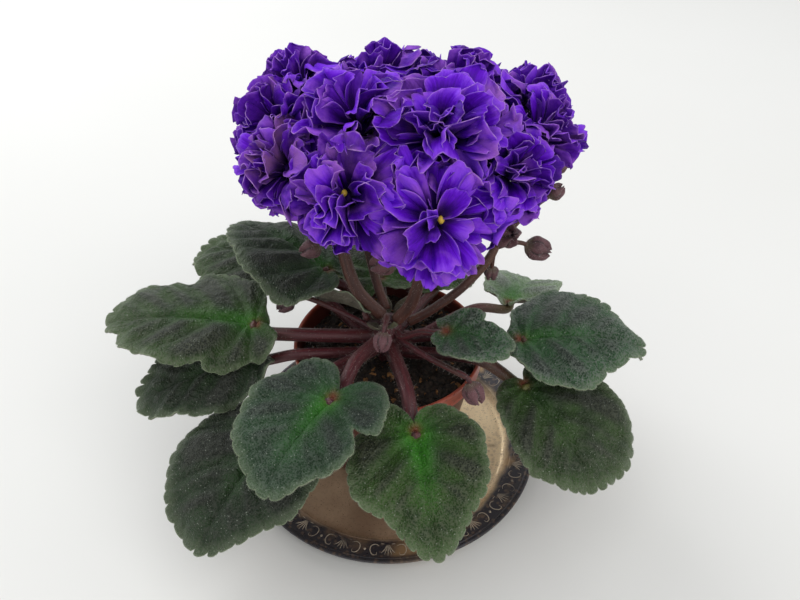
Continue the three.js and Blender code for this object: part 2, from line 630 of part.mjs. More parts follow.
/** A young flower stalk that ends in one bud. */
function budStalk({ radius, path, bud }, extra = 0) {
  const route = vectors([...path, bud.at]);
  const stem = solidOf(rod(route, radius, BUD_STEM.sides, BUD_STEM.steps, extra));
  return [stem, budSolid(bud, route[route.length - 2], extra)];
}

// ---- the assembly -----------------------------------------------------------------------------

const FINISH = {
  saucer: { color: 0x6b5a45, roughness: 0.45, metalness: 0.8 },
  pot: { color: 0x9c4030, roughness: 0.5, metalness: 0 },
  soil: { color: 0x1e1510, roughness: 1, metalness: 0 },
  blade: { color: 0x2f4a33, roughness: 0.7, metalness: 0 },
  stalk: { color: 0x53262a, roughness: 0.7, metalness: 0 },
  bloom: { color: 0x4a14a8, roughness: 0.6, metalness: 0 },
};

const plant = new THREE.Group();

/** Adds one named piece with its finish. */
function addPiece(name, geometry, finish) {
  const mesh = new THREE.Mesh(closed(geometry), new THREE.MeshStandardMaterial(FINISH[finish]));
  mesh.name = name;
  plant.add(mesh);
}

addPiece('saucer', saucerShape(), 'saucer');
addPiece('pot', potShape(), 'pot');
addPiece('soil', soilShape(), 'soil');

addPiece('crown', geometryOf(crownSolid()), 'stalk');

const placed = [crownSolid(GAP)];
for (const leaf of LEAVES) {
  const bladeRoom = solidOf(leafBlade(leaf, LEAF.scallops, GAP));
  const stalk = clearOf(leafStalk(leaf), [...placed, bladeRoom]);
  placed.push(leafStalk(leaf, GAP));
  addPiece(`leaf_stalk_${leaf.name}`, geometryOf(stalk), 'stalk');
}

const stalkCutters = [];
for (const stalk of STALKS) {
  const whole = clearOf(joined(flowerStalk(stalk)), placed);
  stalkCutters.push(...flowerStalk(stalk, GAP));
  addPiece(`flower_stalk_${stalk.name}`, geometryOf(whole), 'stalk');
}
for (const stalk of BUD_STALKS) {
  const whole = clearOf(joined(budStalk(stalk)), placed);
  stalkCutters.push(...budStalk(stalk, GAP));
  addPiece(`bud_stalk_${stalk.name}`, geometryOf(whole), 'stalk');
}

for (const leaf of LEAVES) {
  const others = LEAVES.filter((other) => other !== leaf).map((other) => leafStalk(other, GAP));
  const whole = clearOf(solidOf(leafBlade(leaf)), [...others, ...stalkCutters]);
  addPiece(`leaf_blade_${leaf.name}`, geometryOf(whole), 'blade');
}

const centers = STALKS.flatMap(({ blooms }) => blooms);
centers.forEach((center, i) => {
  const whole = clearOf(parted(bloomSolid(center, i + 1), center, centers), stalkCutters);
  addPiece(`bloom_${String(i + 1).padStart(2, '0')}`, geometryOf(whole), 'bloom');
});

export default plant;
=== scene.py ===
"""Looks of a potted African violet in full bloom: leaves, stalks, double ruffled blooms, pot and saucer."""

import logging
import math
from dataclasses import dataclass, field, replace
from enum import Enum

import bpy
import numpy as np
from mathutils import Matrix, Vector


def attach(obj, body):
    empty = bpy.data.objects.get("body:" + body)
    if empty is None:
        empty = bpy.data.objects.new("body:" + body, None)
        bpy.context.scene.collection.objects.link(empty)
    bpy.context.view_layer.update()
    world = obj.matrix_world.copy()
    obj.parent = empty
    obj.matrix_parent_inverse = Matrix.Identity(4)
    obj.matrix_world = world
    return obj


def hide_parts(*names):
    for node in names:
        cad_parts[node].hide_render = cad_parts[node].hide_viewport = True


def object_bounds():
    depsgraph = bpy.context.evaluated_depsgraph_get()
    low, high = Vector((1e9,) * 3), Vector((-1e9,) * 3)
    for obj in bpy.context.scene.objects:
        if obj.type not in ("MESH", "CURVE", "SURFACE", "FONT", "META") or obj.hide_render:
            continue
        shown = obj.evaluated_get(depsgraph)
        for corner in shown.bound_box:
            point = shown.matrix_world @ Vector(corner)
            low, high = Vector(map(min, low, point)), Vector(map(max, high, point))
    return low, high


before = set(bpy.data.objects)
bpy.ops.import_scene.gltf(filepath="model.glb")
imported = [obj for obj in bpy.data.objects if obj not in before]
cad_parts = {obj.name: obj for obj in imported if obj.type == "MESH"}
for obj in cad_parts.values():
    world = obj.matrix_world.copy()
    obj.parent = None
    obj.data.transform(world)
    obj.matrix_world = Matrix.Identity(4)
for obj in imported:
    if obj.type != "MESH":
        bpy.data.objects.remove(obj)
CAD_BOX = [list(corner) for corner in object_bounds()]

log = logging.getLogger("violet")
logging.basicConfig(level=logging.INFO, format="%(name)s: %(message)s")

MM = 0.001  # metres
GAP = 0.35  # mm left between solids that touch in the real plant
INSET = 1e-5  # metres that pieces stay inside the box of the solids
UP = np.array([0.0, 0.0, 1.0])
MARKS = "marks"
GRAIN = "grain"
HAIRINESS = "hairiness"

Faces = list[tuple[int, ...]]
Triple = tuple[float, float, float]
Colour = Triple
Socket = bpy.types.NodeSocket
Material = bpy.types.Material
Piece = bpy.types.Object


# ---- numbers and vectors -------------------------------------------------------------------------


def unit(vectors: np.ndarray) -> np.ndarray:
    """Vectors at length one."""
    return vectors / np.maximum(np.linalg.norm(vectors, axis=-1, keepdims=True), 1e-9)


def frame_of(along: np.ndarray, normal: np.ndarray) -> tuple[np.ndarray, np.ndarray, np.ndarray]:
    """Three axes at right angles, the first along one vector and the third near another.

    Args:
        along: the direction of the first axis.
        normal: the direction that the third axis lies near.

    Returns:
        The first, second and third axis.
    """
    first = unit(along)
    third = unit(normal - np.dot(normal, first) * first)
    return first, np.cross(third, first), third


def spun(vectors: np.ndarray, axis: np.ndarray, degrees: float) -> np.ndarray:
    """Vectors turned about an axis.

    Args:
        vectors: what is turned.
        axis: the axis, at length one.
        degrees: how far they are turned.

    Returns:
        The turned vectors.
    """
    turn = math.radians(degrees)
    along = (vectors @ axis)[..., None] * axis
    return along + (vectors - along) * math.cos(turn) + np.cross(axis, vectors) * math.sin(turn)


def chance(i: float, k: float) -> float:
    """A repeatable number from 0 to 1 for a pair of counters."""
    wave = math.sin(i * 12.9898 + k * 78.233) * 43758.5453
    return wave - math.floor(wave)


def smooth(values: np.ndarray, low: float, high: float) -> np.ndarray:
    """Values eased from 0 at low to 1 at high."""
    t = np.clip((values - low) / (high - low), 0, 1)
    return t * t * (3 - 2 * t)


@dataclass(frozen=True)
class Wobble:
    """Smooth unevenness in space: a sum of waves in fixed directions.

    size is the length of a wave in mm, seed sets the directions.
    """

    size: float
    seed: int
    waves: int = 6

    def at(self, points: np.ndarray) -> np.ndarray:
        """The unevenness at some points.

        Args:
            points: the points, in mm.

        Returns:
            A number for each of them, about -1 to 1.
        """
        rng = np.random.default_rng(self.seed)
        directions = unit(rng.normal(size=(self.waves, 3)))
        steps = rng.uniform(0.7, 1.5, self.waves) * 2 * math.pi / self.size
        phases = rng.uniform(0, 2 * math.pi, self.waves)
        return np.sin(points @ (directions * steps[:, None]).T + phases).sum(-1) / math.sqrt(self.waves)


def smooth_path(points: np.ndarray, steps: int) -> np.ndarray:
    """A smooth curve through points, close to even in its steps.

    Args:
        points: the points it passes, in mm.
        steps: the number of steps between two points.

    Returns:
        The points of the curve.
    """
    route = np.vstack([2 * points[0] - points[1], points, 2 * points[-1] - points[-2]])
    curve = []
    for i in range(1, len(route) - 2):
        p0, p1, p2, p3 = route[i - 1 : i + 3]
        d0, d1, d2 = (max(np.linalg.norm(b - a) ** 0.5, 1e-4) for a, b in ((p0, p1), (p1, p2), (p2, p3)))
        t1 = ((p1 - p0) / d0 - (p2 - p0) / (d0 + d1) + (p2 - p1) / d1) * d1
        t2 = ((p2 - p1) / d1 - (p3 - p1) / (d1 + d2) + (p3 - p2) / d2) * d1
        for t in np.linspace(0, 1, steps, endpoint=False):
            curve.append(
                p1 + t1 * t + (3 * (p2 - p1) - 2 * t1 - t2) * t**2 + (2 * (p1 - p2) + t1 + t2) * t**3
            )
    return np.array([*curve, route[-2]])


# ---- meshes --------------------------------------------------------------------------------------


@dataclass
class Sketch:
    """A piece while it is built: points in mm, faces, and marks and grain for its finish at each point.

    marks are four numbers and grain three numbers whose meaning each finish gives.
    """

    points: list[np.ndarray] = field(default_factory=list)
    faces: Faces = field(default_factory=list)
    marks: list[np.ndarray] = field(default_factory=list)
    grain: list[np.ndarray] = field(default_factory=list)
    slots: list[int] = field(default_factory=list)
    count: int = 0

    def add(
        self, points: np.ndarray, faces: list, marks: np.ndarray | None = None,
        grain: np.ndarray | None = None, slot: int = 0,
    ) -> None:
        """Adds a part of the piece.

        Args:
            points: its points.
            faces: its faces, as tuples of indices into its points.
            marks: four numbers for each point.
            grain: three numbers for each point.
            slot: which of the piece's finishes it takes.
        """
        start, self.count = self.count, self.count + len(points)
        self.points.append(points)
        self.faces.extend(tuple(start + i for i in face) for face in faces)
        self.marks.append(np.zeros((len(points), 4)) if marks is None else marks)
        self.grain.append(points * MM if grain is None else grain)
        self.slots.extend([slot] * len(faces))

    def finish(self, name: str, materials: list[Material], sharp: float = 180.0) -> Piece:
        """Makes the piece.

        Args:
            name: the piece's name.
            materials: its finishes, in the order of the slots.
            sharp: edges that bend by more than this many degrees stay sharp.

        Returns:
            The piece, inside the box of the solids.
        """
        low, high = (np.array(corner) for corner in CAD_BOX)
        points = np.clip(np.vstack(self.points) * MM, low + INSET, high - INSET)
        mesh = bpy.data.meshes.new(name)
        mesh.from_pydata(points.tolist(), [], self.faces)
        for material in materials:
            mesh.materials.append(material)
        mesh.polygons.foreach_set("material_index", self.slots)
        mesh.polygons.foreach_set("use_smooth", [True] * len(self.faces))
        marks = mesh.attributes.new(MARKS, "FLOAT_COLOR", "POINT")
        marks.data.foreach_set("color", np.vstack(self.marks).astype(np.float32).ravel())
        grain = mesh.attributes.new(GRAIN, "FLOAT_VECTOR", "POINT")
        grain.data.foreach_set("vector", np.vstack(self.grain).astype(np.float32).ravel())
        if sharp < 180:
            mesh.set_sharp_from_angle(angle=math.radians(sharp))
        mesh.update()
        piece = bpy.data.objects.new(name, mesh)
        bpy.context.scene.collection.objects.link(piece)
        return piece


def grid_faces(rows: int, columns: int, around: bool = False) -> Faces:
    """Faces of a grid of points, row by row.

    Args:
        rows: the number of its rows.
        columns: the number of points in a row.
        around: whether the last column meets the first.

    Returns:
        The faces.
    """
    wide = columns if around else columns - 1
    return [
        (low + c, low + columns + c, low + columns + (c + 1) % columns, low + (c + 1) % columns)
        for low in range(0, (rows - 1) * columns, columns) for c in range(wide)
    ]


def flipped(faces: Faces) -> Faces:
    """Faces turned to look the other way."""
    return [tuple(reversed(face)) for face in faces]


def barrel_faces(rows: int, columns: int) -> Faces:
    """Faces of a stack of rings with its ends filled.

    The sides look outwards if the rings turn anticlockwise, and the ends are wound the other way.

    Args:
        rows: the number of rings.
        columns: the number of points in a ring.

    Returns:
        The faces.
    """
    ends = [tuple(range(columns)), tuple(reversed(range((rows - 1) * columns, rows * columns)))]
    return flipped(grid_faces(rows, columns, True)) + ends


def sheet_rim(rows: int, columns: int) -> list[int]:
    """The edge of a grid of points.

    Args:
        rows: the number of its rows.
        columns: the number of points in a row.

    Returns:
        Indices along the edge, anticlockwise.
    """
    up = [r * columns for r in range(rows)]
    across = [(rows - 1) * columns + c for c in range(1, columns)]
    down = [r * columns + columns - 1 for r in range(rows - 2, -1, -1)]
    return up + across + down + list(range(columns - 2, 0, -1))


def thickened(
    points: np.ndarray, faces: list, rim: list[int], thickness: float | np.ndarray,
) -> tuple[np.ndarray, Faces, np.ndarray]:
    """A sheet given its thickness.

    Args:
        points: the middle of the sheet.
        faces: its faces, anticlockwise from its upper side.
        rim: the indices along its edge, anticlockwise.
        thickness: in mm, the same all over or one for each point.

    Returns:
        Points of the upper and then the lower side, all faces, and 0 or 1 for the side of each point.
    """
    normals = np.zeros_like(points)
    quads = np.array([face if len(face) == 4 else (*face, face[-1]) for face in faces])
    a, b, c, d = (points[quads[:, i]] for i in range(4))
    bent = np.cross(c - a, d - b)
    for i in range(4):
        np.add.at(normals, quads[:, i], bent)
    n = len(points)
    normals = unit(normals) * np.broadcast_to(thickness, n)[:, None] / 2
    walls = [(q, p, n + p, n + q) for p, q in zip(rim, rim[1:] + rim[:1])]
    under = flipped([tuple(n + i for i in face) for face in faces])
    side = np.repeat([0.0, 1.0], n)
    return np.vstack([points + normals, points - normals]), [*faces, *under, *walls], side


def turned(profile: list[tuple[float, float]], sides: int) -> tuple[np.ndarray, Faces]:
    """A closed solid turned about the Z axis.

    Args:
        profile: radius and height from one end on the axis to the other, outside first going up.
        sides: the number of points round the axis.

    Returns:
        Its points and faces.
    """
    rings = np.array(profile[1:-1])
    turn = np.arange(sides) * 2 * math.pi / sides
    wheel = np.stack([np.cos(turn), np.sin(turn)], -1)
    body = np.concatenate(
        [rings[:, None, :1] * wheel[None], np.repeat(rings[:, None, 1:], sides, 1)], -1
    ).reshape(-1, 3)
    points = np.vstack([body, [0, 0, profile[0][1]], [0, 0, profile[-1][1]]])
    low, high, last = len(body), len(body) + 1, len(body) - sides
    faces = flipped(grid_faces(len(rings), sides, True))
    faces += [(low, (c + 1) % sides, c) for c in range(sides)]
    faces += [(high, last + c, last + (c + 1) % sides) for c in range(sides)]
    return points, faces


def tube(
    path: np.ndarray, radii: np.ndarray, sides: int, squash: float = 1.0,
) -> tuple[np.ndarray, Faces, np.ndarray, np.ndarray]:
    """A round rod along a path, closed at both ends.

    Args:
        path: the points of its middle.
        radii: its radius at each of them.
        sides: the number of points round it.
        squash: its height over its width.

    Returns:
        Its points, faces, the share of the way along, and the angle round it, for each point.
    """
    ahead = unit(np.gradient(path, axis=0))
    across = [unit(np.cross(ahead[0], UP if abs(ahead[0][2]) < 0.9 else np.array([1.0, 0, 0])))]
    for direction in ahead[1:]:
        across.append(unit(across[-1] - np.dot(across[-1], direction) * direction))
    across = np.array(across)
    over = np.cross(across, ahead)
    path = np.vstack([path[0], path, path[-1]])
    radii = np.concatenate([[radii[0] * 0.1], radii, [radii[-1] * 0.1]])
    across, over = (np.vstack([v[0], v, v[-1]]) for v in (across, over))
    turn = np.arange(sides) * 2 * math.pi / sides
    sideways, upwards = np.cos(turn)[None, :, None], squash * np.sin(turn)[None, :, None]
    ring = sideways * across[:, None] + upwards * over[:, None]
    points = (path[:, None] + radii[:, None, None] * ring).reshape(-1, 3)
    rows = len(path)
    faces = flipped(barrel_faces(rows, sides))
    return points, faces, np.repeat(np.linspace(0, 1, rows), sides), np.tile(turn, rows)


def apply_modifiers(piece: Piece) -> None:
    """Makes the result of a piece's modifiers its plain mesh.

    Args:
        piece: the piece.
    """
    bpy.context.view_layer.update()
    graph = bpy.context.evaluated_depsgraph_get()
    result = bpy.data.meshes.new_from_object(piece.evaluated_get(graph))
    piece.modifiers.clear()
    piece.data = result


# ---- finishes ------------------------------------------------------------------------------------


class Board:
    """A node tree while its nodes are laid out."""

    def __init__(self, tree: bpy.types.NodeTree) -> None:
        """Starts with an empty tree."""
        self.nodes, self.links = tree.nodes, tree.links
        self.nodes.clear()

    def node(self, kind: str, inputs: dict | None = None, **settings: object) -> bpy.types.Node:
        """Adds a node.

        Args:
            kind: its type.
            inputs: its inputs, as values or as other nodes' outputs.
            settings: its settings.

        Returns:
            The node.
        """
        node = self.nodes.new(kind)
        for key, value in settings.items():
            setattr(node, key, value)
        for key, value in (inputs or {}).items():
            socket = node.inputs[key]
            if isinstance(value, Socket):
                self.links.new(value, socket)
            elif socket.type == "RGBA" and len(value) == 3:
                socket.default_value = (*value, 1)
            else:
                socket.default_value = value
        return node

    def sum(self, a: Socket | float, b: Socket | float) -> Socket:
        """Two values added."""
        return self.node("ShaderNodeMath", {0: a, 1: b}, operation="ADD").outputs[0]

    def times(self, a: Socket | float, b: Socket | float) -> Socket:
        """Two values multiplied."""
        return self.node("ShaderNodeMath", {0: a, 1: b}, operation="MULTIPLY").outputs[0]


class Bench(Board):
    """A material while its nodes are laid out."""

    def __init__(self, name: str) -> None:
        """Starts an empty material.

        Args:
            name: the material's name.
        """
        self.material = bpy.data.materials.new(name)
        self.material.use_nodes = True
        super().__init__(self.material.node_tree)

    def mark(self) -> list[Socket]:
        """The piece's marks.

        Returns:
            Their red, green, blue and alpha.
        """
        attribute = self.node("ShaderNodeAttribute", attribute_name=MARKS)
        parts = self.node("ShaderNodeSeparateColor", {"Color": attribute.outputs["Color"]})
        return [*parts.outputs, attribute.outputs["Alpha"]]

    def grain(self) -> Socket:
        """The piece's grain, as a vector that follows its surface."""
        return self.node("ShaderNodeAttribute", attribute_name=GRAIN).outputs["Vector"]

    def place(self) -> Socket:
        """Object coordinates."""
        return self.node("ShaderNodeTexCoord").outputs["Object"]

    def radius(self, place: Socket) -> Socket:
        """Distance of a place from the Z axis, in metres."""
        flat = self.node("ShaderNodeVectorMath", {0: place, 1: (1, 1, 0)}, operation="MULTIPLY").outputs[0]
        return self.node("ShaderNodeVectorMath", {0: flat}, operation="LENGTH").outputs["Value"]

    def stretched(self, vector: Socket, scale: Triple) -> Socket:
        """A pattern's coordinates with each axis scaled."""
        return self.node("ShaderNodeMapping", {"Vector": vector, "Scale": scale}).outputs["Vector"]

    def noise(self, vector: Socket, scale: float, detail: float = 3.0) -> Socket:
        """Cloudy noise, in waves per metre of the coordinates."""
        inputs = {"Vector": vector, "Scale": scale, "Detail": detail}
        return self.node("ShaderNodeTexNoise", inputs).outputs["Fac"]

    def cells(self, vector: Socket, scale: float, feature: str = "F1") -> Socket:
        """Distance in a cell pattern."""
        inputs = {"Vector": vector, "Scale": scale}
        return self.node("ShaderNodeTexVoronoi", inputs, feature=feature).outputs["Distance"]

    def ease(self, value: Socket, low: float, high: float, top: float = 1.0) -> Socket:
        """A value eased from 0 at low to top at high."""
        inputs = {"Value": value, "From Min": low, "From Max": high, "To Max": top}
        return self.node("ShaderNodeMapRange", inputs, interpolation_type="SMOOTHSTEP").outputs["Result"]

    def mix(self, share: object, a: object, b: object) -> Socket:
        """Two colours mixed, with that share of the second."""
        return self.node("ShaderNodeMix", {"Factor": share, 6: a, 7: b}, data_type="RGBA").outputs[2]

    def bump(
        self, height: Socket, depth: float, strength: float = 1.0, under: Socket | None = None,
    ) -> Socket:
        """A normal roughened by a height.

        Args:
            height: the height, from 0 to 1.
            depth: how deep that is, in mm.
            strength: how strongly it shows.
            under: a normal that is roughened already.

        Returns:
            The normal.
        """
        inputs = {"Height": height, "Distance": depth * MM, "Strength": strength}
        if under is not None:
            inputs["Normal"] = under
        return self.node("ShaderNodeBump", inputs).outputs["Normal"]

    def done(self, inputs: dict) -> Material:
        """Ends the material with its surface shader.

        Args:
            inputs: the shader's inputs.

        Returns:
            The material.
        """
        shader = self.node("ShaderNodeBsdfPrincipled", inputs)
        output = self.node("ShaderNodeOutputMaterial")
        self.links.new(shader.outputs[0], output.inputs["Surface"])
        return self.material


class LeafTone(Enum):
    """How a leaf is tinted."""

    GREEN = "green"
    GREY = "grey"
    BLUE = "blue"
    DARK = "dark"
    TEAL = "teal"
    PALE = "pale"


@dataclass(frozen=True)
class LeafFinish:
    """Velvety blade. Marks: pillow, glow, share of the way to the rim, underside. Grain: place, redness.

    deep is the colour of the pillows' crests and bloom that of the frosting on its tufts. shade and fresh
    are its darkest and lightest green, and frosting is how much of the frosting shows.
    """

    tone: LeafTone
    deep: Colour
    bloom: Colour
    shade: Colour
    fresh: Colour
    frosting: float = 0.5
    glow: Colour = (0.034, 0.19, 0.010)
    rim: Colour = (0.30, 0.36, 0.22)
    # colour of the painted glints, light caught by single hairs
    painted_glint: Colour = (0.38, 0.42, 0.34)
    under: Colour = (0.13, 0.115, 0.085)
    red: Colour = (0.16, 0.04, 0.02)

    def build(self) -> Material:
        """Lays out the leaf material.

        Returns:
            The material.
        """
        b = Bench(f"leaf_{self.tone.value}")
        pillow, glow, share, under = b.mark()
        grain, place = b.grain(), b.place()
        green = b.mix(b.ease(b.noise(grain, 60, 3), 0.3, 0.65), self.shade, self.fresh)
        green = b.mix(b.ease(share, 0.75, 1.0, 0.8), green, self.fresh)
        uneven = b.times(b.sum(b.noise(place, 30, 2), -0.5), 0.7)
        colour = b.mix(b.ease(b.sum(pillow, uneven), 0.1, 0.8, 0.92), green, self.deep)
        colour = b.mix(glow, colour, self.glow)
        tufts = b.cells(grain, 1350)
        frosting = b.ease(b.sum(share, b.noise(place, 26, 2)), 0.6, 1.45)
        frosting = b.times(b.sum(frosting, 0.25), b.ease(tufts, 0.34, 0.66))
        colour = b.mix(b.times(frosting, self.frosting), colour, self.bloom)
        colour = b.mix(b.ease(tufts, 0.3, 0.1, 0.45), colour, self.shade)
        # painted highlight: scattered pale dots stand in for glints of light on the hairs
        colour = b.mix(b.ease(b.cells(grain, 620), 0.17, 0.08, 0.45), colour, self.painted_glint)
        redness = b.node("ShaderNodeSeparateXYZ", {"Vector": grain}).outputs["Z"]
        colour = b.mix(b.times(redness, 1000.0), colour, self.red)
        colour = b.mix(b.ease(share, 0.86, 1.0, 0.2), colour, self.rim)
        colour = b.mix(b.ease(share, 0.985, 1.0, 0.6), colour, self.rim)
        colour = b.mix(under, colour, self.under)
        quilt = b.bump(b.cells(grain, 280, "SMOOTH_F1"), -2.0, 0.8)
        normal = b.bump(tufts, 0.5, 1.0, quilt)
        return b.done({
            "Base Color": colour, "Roughness": 0.5, "Normal": normal, "Specular IOR Level": 0.3,
            "Sheen Weight": 0.05, "Sheen Roughness": 0.4, "Sheen Tint": (0.8, 0.9, 0.8),
        })


LEAF_FINISHES = [
    LeafFinish(LeafTone.GREEN, (0.010, 0.012, 0.006), (0.095, 0.110, 0.062), (0.009, 0.025, 0.004),
               (0.034, 0.085, 0.011), 0.45),
    LeafFinish(LeafTone.GREY, (0.010, 0.012, 0.007), (0.075, 0.084, 0.054), (0.009, 0.022, 0.005),
               (0.028, 0.066, 0.010), 0.45),
    LeafFinish(LeafTone.BLUE, (0.012, 0.018, 0.013), (0.120, 0.142, 0.115), (0.008, 0.028, 0.009),
               (0.024, 0.088, 0.026), 0.66),
    LeafFinish(LeafTone.TEAL, (0.006, 0.011, 0.007), (0.080, 0.106, 0.078), (0.005, 0.018, 0.006),
               (0.016, 0.055, 0.017), 0.42),
    LeafFinish(LeafTone.DARK, (0.006, 0.007, 0.004), (0.045, 0.050, 0.036), (0.005, 0.012, 0.004),
               (0.013, 0.036, 0.008), 0.45),
    LeafFinish(LeafTone.PALE, (0.11, 0.125, 0.10), (0.34, 0.38, 0.32), (0.09, 0.14, 0.08),
               (0.16, 0.24, 0.11)),
]


@dataclass(frozen=True)
class StalkFinish:
    """Hairy stalk. Marks: share along, greenness. Grain: round and along the stalk."""

    dark: Colour = (0.034, 0.008, 0.010)
    maroon: Colour = (0.115, 0.020, 0.024)
    green: Colour = (0.13, 0.125, 0.03)
    dot: Colour = (0.4, 0.33, 0.3)
    name: str = "stalk"

    def build(self) -> Material:
        """Lays out the stalk material.

        Returns:
            The material.
        """
        b = Bench(self.name)
        _, greenness, _, _ = b.mark()
        streaks = b.noise(b.stretched(b.grain(), (1, 1, 0.12)), 420)
        colour = b.mix(b.ease(streaks, 0.3, 0.75), self.dark, self.maroon)
        uneven = b.sum(b.noise(b.place(), 90), -0.5)
        colour = b.mix(b.ease(b.sum(greenness, b.times(uneven, 0.5)), 0.0, 1.0), colour, self.green)
        dots = b.cells(b.place(), 1500)
        colour = b.mix(b.ease(dots, 0.3, 0.1, 0.06), colour, self.dot)
        return b.done({
            "Base Color": colour, "Roughness": 0.42, "Normal": b.bump(b.sum(streaks, dots), 0.25, 0.6),
            "Specular IOR Level": 0.45, "Sheen Weight": 0.04, "Sheen Roughness": 0.5,
            "Sheen Tint": (0.95, 0.8, 0.75),
        })


@dataclass(frozen=True)
class PetalFinish:
    """Violet petal with painted light and shade. Marks: share of the way to the edge, back, tone, fading."""

    # dark is the painted shade deep in the bloom, near the petals' roots
    dark: Colour = (0.012, 0.001, 0.055)
    # deep, bright and lilac carry the painted light and shade of each petal
    deep: Colour = (0.043, 0.002, 0.205)
    bright: Colour = (0.150, 0.006, 0.70)
    lilac: Colour = (0.27, 0.065, 0.80)
    back: Colour = (0.15, 0.022, 0.48)
    blush: Colour = (0.34, 0.10, 0.64)
    edge: Colour = (0.55, 0.30, 0.72)
    faded: Colour = (0.32, 0.14, 0.22)

    def build(self) -> Material:
        """Lays out the petal material.

        Returns:
            The material.
        """
        b = Bench("petal")
        share, back, tone, fading = b.mark()
        grain = b.grain()
        rays = b.noise(b.stretched(grain, (3.0, 0.5, 1)), 7, 4)
        # lit is painted light and shade: brighter towards the edge, partly the petal's own paler outer colour
        # and partly painted shade at the root, and by each petal's tone, as if it faced the light or turned
        # away
        lit = b.sum(b.sum(share, tone), rays)
        front = b.mix(b.ease(lit, 0.8, 1.9), self.deep, self.bright)
        # painted highlight: lilac on the rims of the most lit petals
        front = b.mix(b.ease(b.sum(lit, share), 2.25, 3.1), front, self.lilac)
        colour = b.mix(b.times(back, 0.7), front, b.mix(rays, self.deep, self.back))
        patches = b.ease(b.sum(b.noise(b.place(), 85, 4), b.times(share, 0.16)), 0.6, 0.84, 0.75)
        colour = b.mix(patches, colour, self.blush)
        worn = b.ease(b.sum(b.noise(b.place(), 120, 3), b.times(fading, 0.5)), 0.5, 0.95)
        colour = b.mix(b.times(worn, fading), colour, self.faded)
        broken = b.ease(b.noise(b.place(), 260, 3), 0.45, 0.7, 0.65)
        edge = b.times(b.ease(share, 0.978, 1.0), b.sum(broken, 0.22))
        colour = b.mix(edge, colour, self.edge)
        # painted shade: petals darken towards their roots, where shade falls inside the bloom
        painted_root_shade = b.ease(share, 0.76, 0.28, 0.85)
        colour = b.mix(painted_root_shade, colour, self.dark)
        fine = b.sum(b.noise(b.stretched(grain, (5, 1, 1)), 9, 4), b.noise(b.place(), 420, 3))
        return b.done({
            "Base Color": colour, "Roughness": 0.5, "Normal": b.bump(fine, 0.5, 0.8),
            "Specular IOR Level": 0.1, "Sheen Weight": 0.06, "Sheen Roughness": 0.3,
            "Sheen Tint": (0.75, 0.5, 1.0),
        })


@dataclass(frozen=True)
class SepalFinish:
    """Sepals and buds: brown mauve with painted shade in the folds. Marks: share (not used here), fold, tone,
    greenness.
    """

    dark: Colour = (0.022, 0.009, 0.011)
    mauve: Colour = (0.135, 0.052, 0.060)
    green: Colour = (0.10, 0.11, 0.05)
    dot: Colour = (0.32, 0.24, 0.24)

    def build(self) -> Material:
        """Lays out the sepal material.

        Returns:
            The material.
        """
        b = Bench("sepal")
        _, fold, tone, greenness = b.mark()
        clouds = b.noise(b.place(), 260)
        colour = b.mix(b.ease(b.sum(clouds, tone), 0.3, 1.2), self.dark, self.mauve)
        colour = b.mix(greenness, colour, self.green)
        # painted shade: darker in the creases that the fold mark follows
        colour = b.mix(fold, colour, self.dark)
        dots = b.cells(b.place(), 1300)
        colour = b.mix(b.ease(dots, 0.35, 0.1, 0.25), colour, self.dot)
        return b.done({
            "Base Color": colour, "Roughness": 0.6, "Normal": b.bump(b.sum(clouds, dots), 0.3, 0.7),
            "Sheen Weight": 0.1, "Sheen Roughness": 0.5, "Sheen Tint": (0.95, 0.85, 0.9),
        })


@dataclass(frozen=True)
class HairFinish:
    """Fine pale plant hair."""

    name: str
    colour: Colour

    def build(self) -> Material:
        """Lays out the hair material.

        Returns:
            The material.
        """
        b = Bench(self.name)
        colour = b.mix(b.noise(b.place(), 300), self.colour, tuple(0.7 * c for c in self.colour))
        return b.done({"Base Color": colour, "Roughness": 0.45, "Specular IOR Level": 0.5})


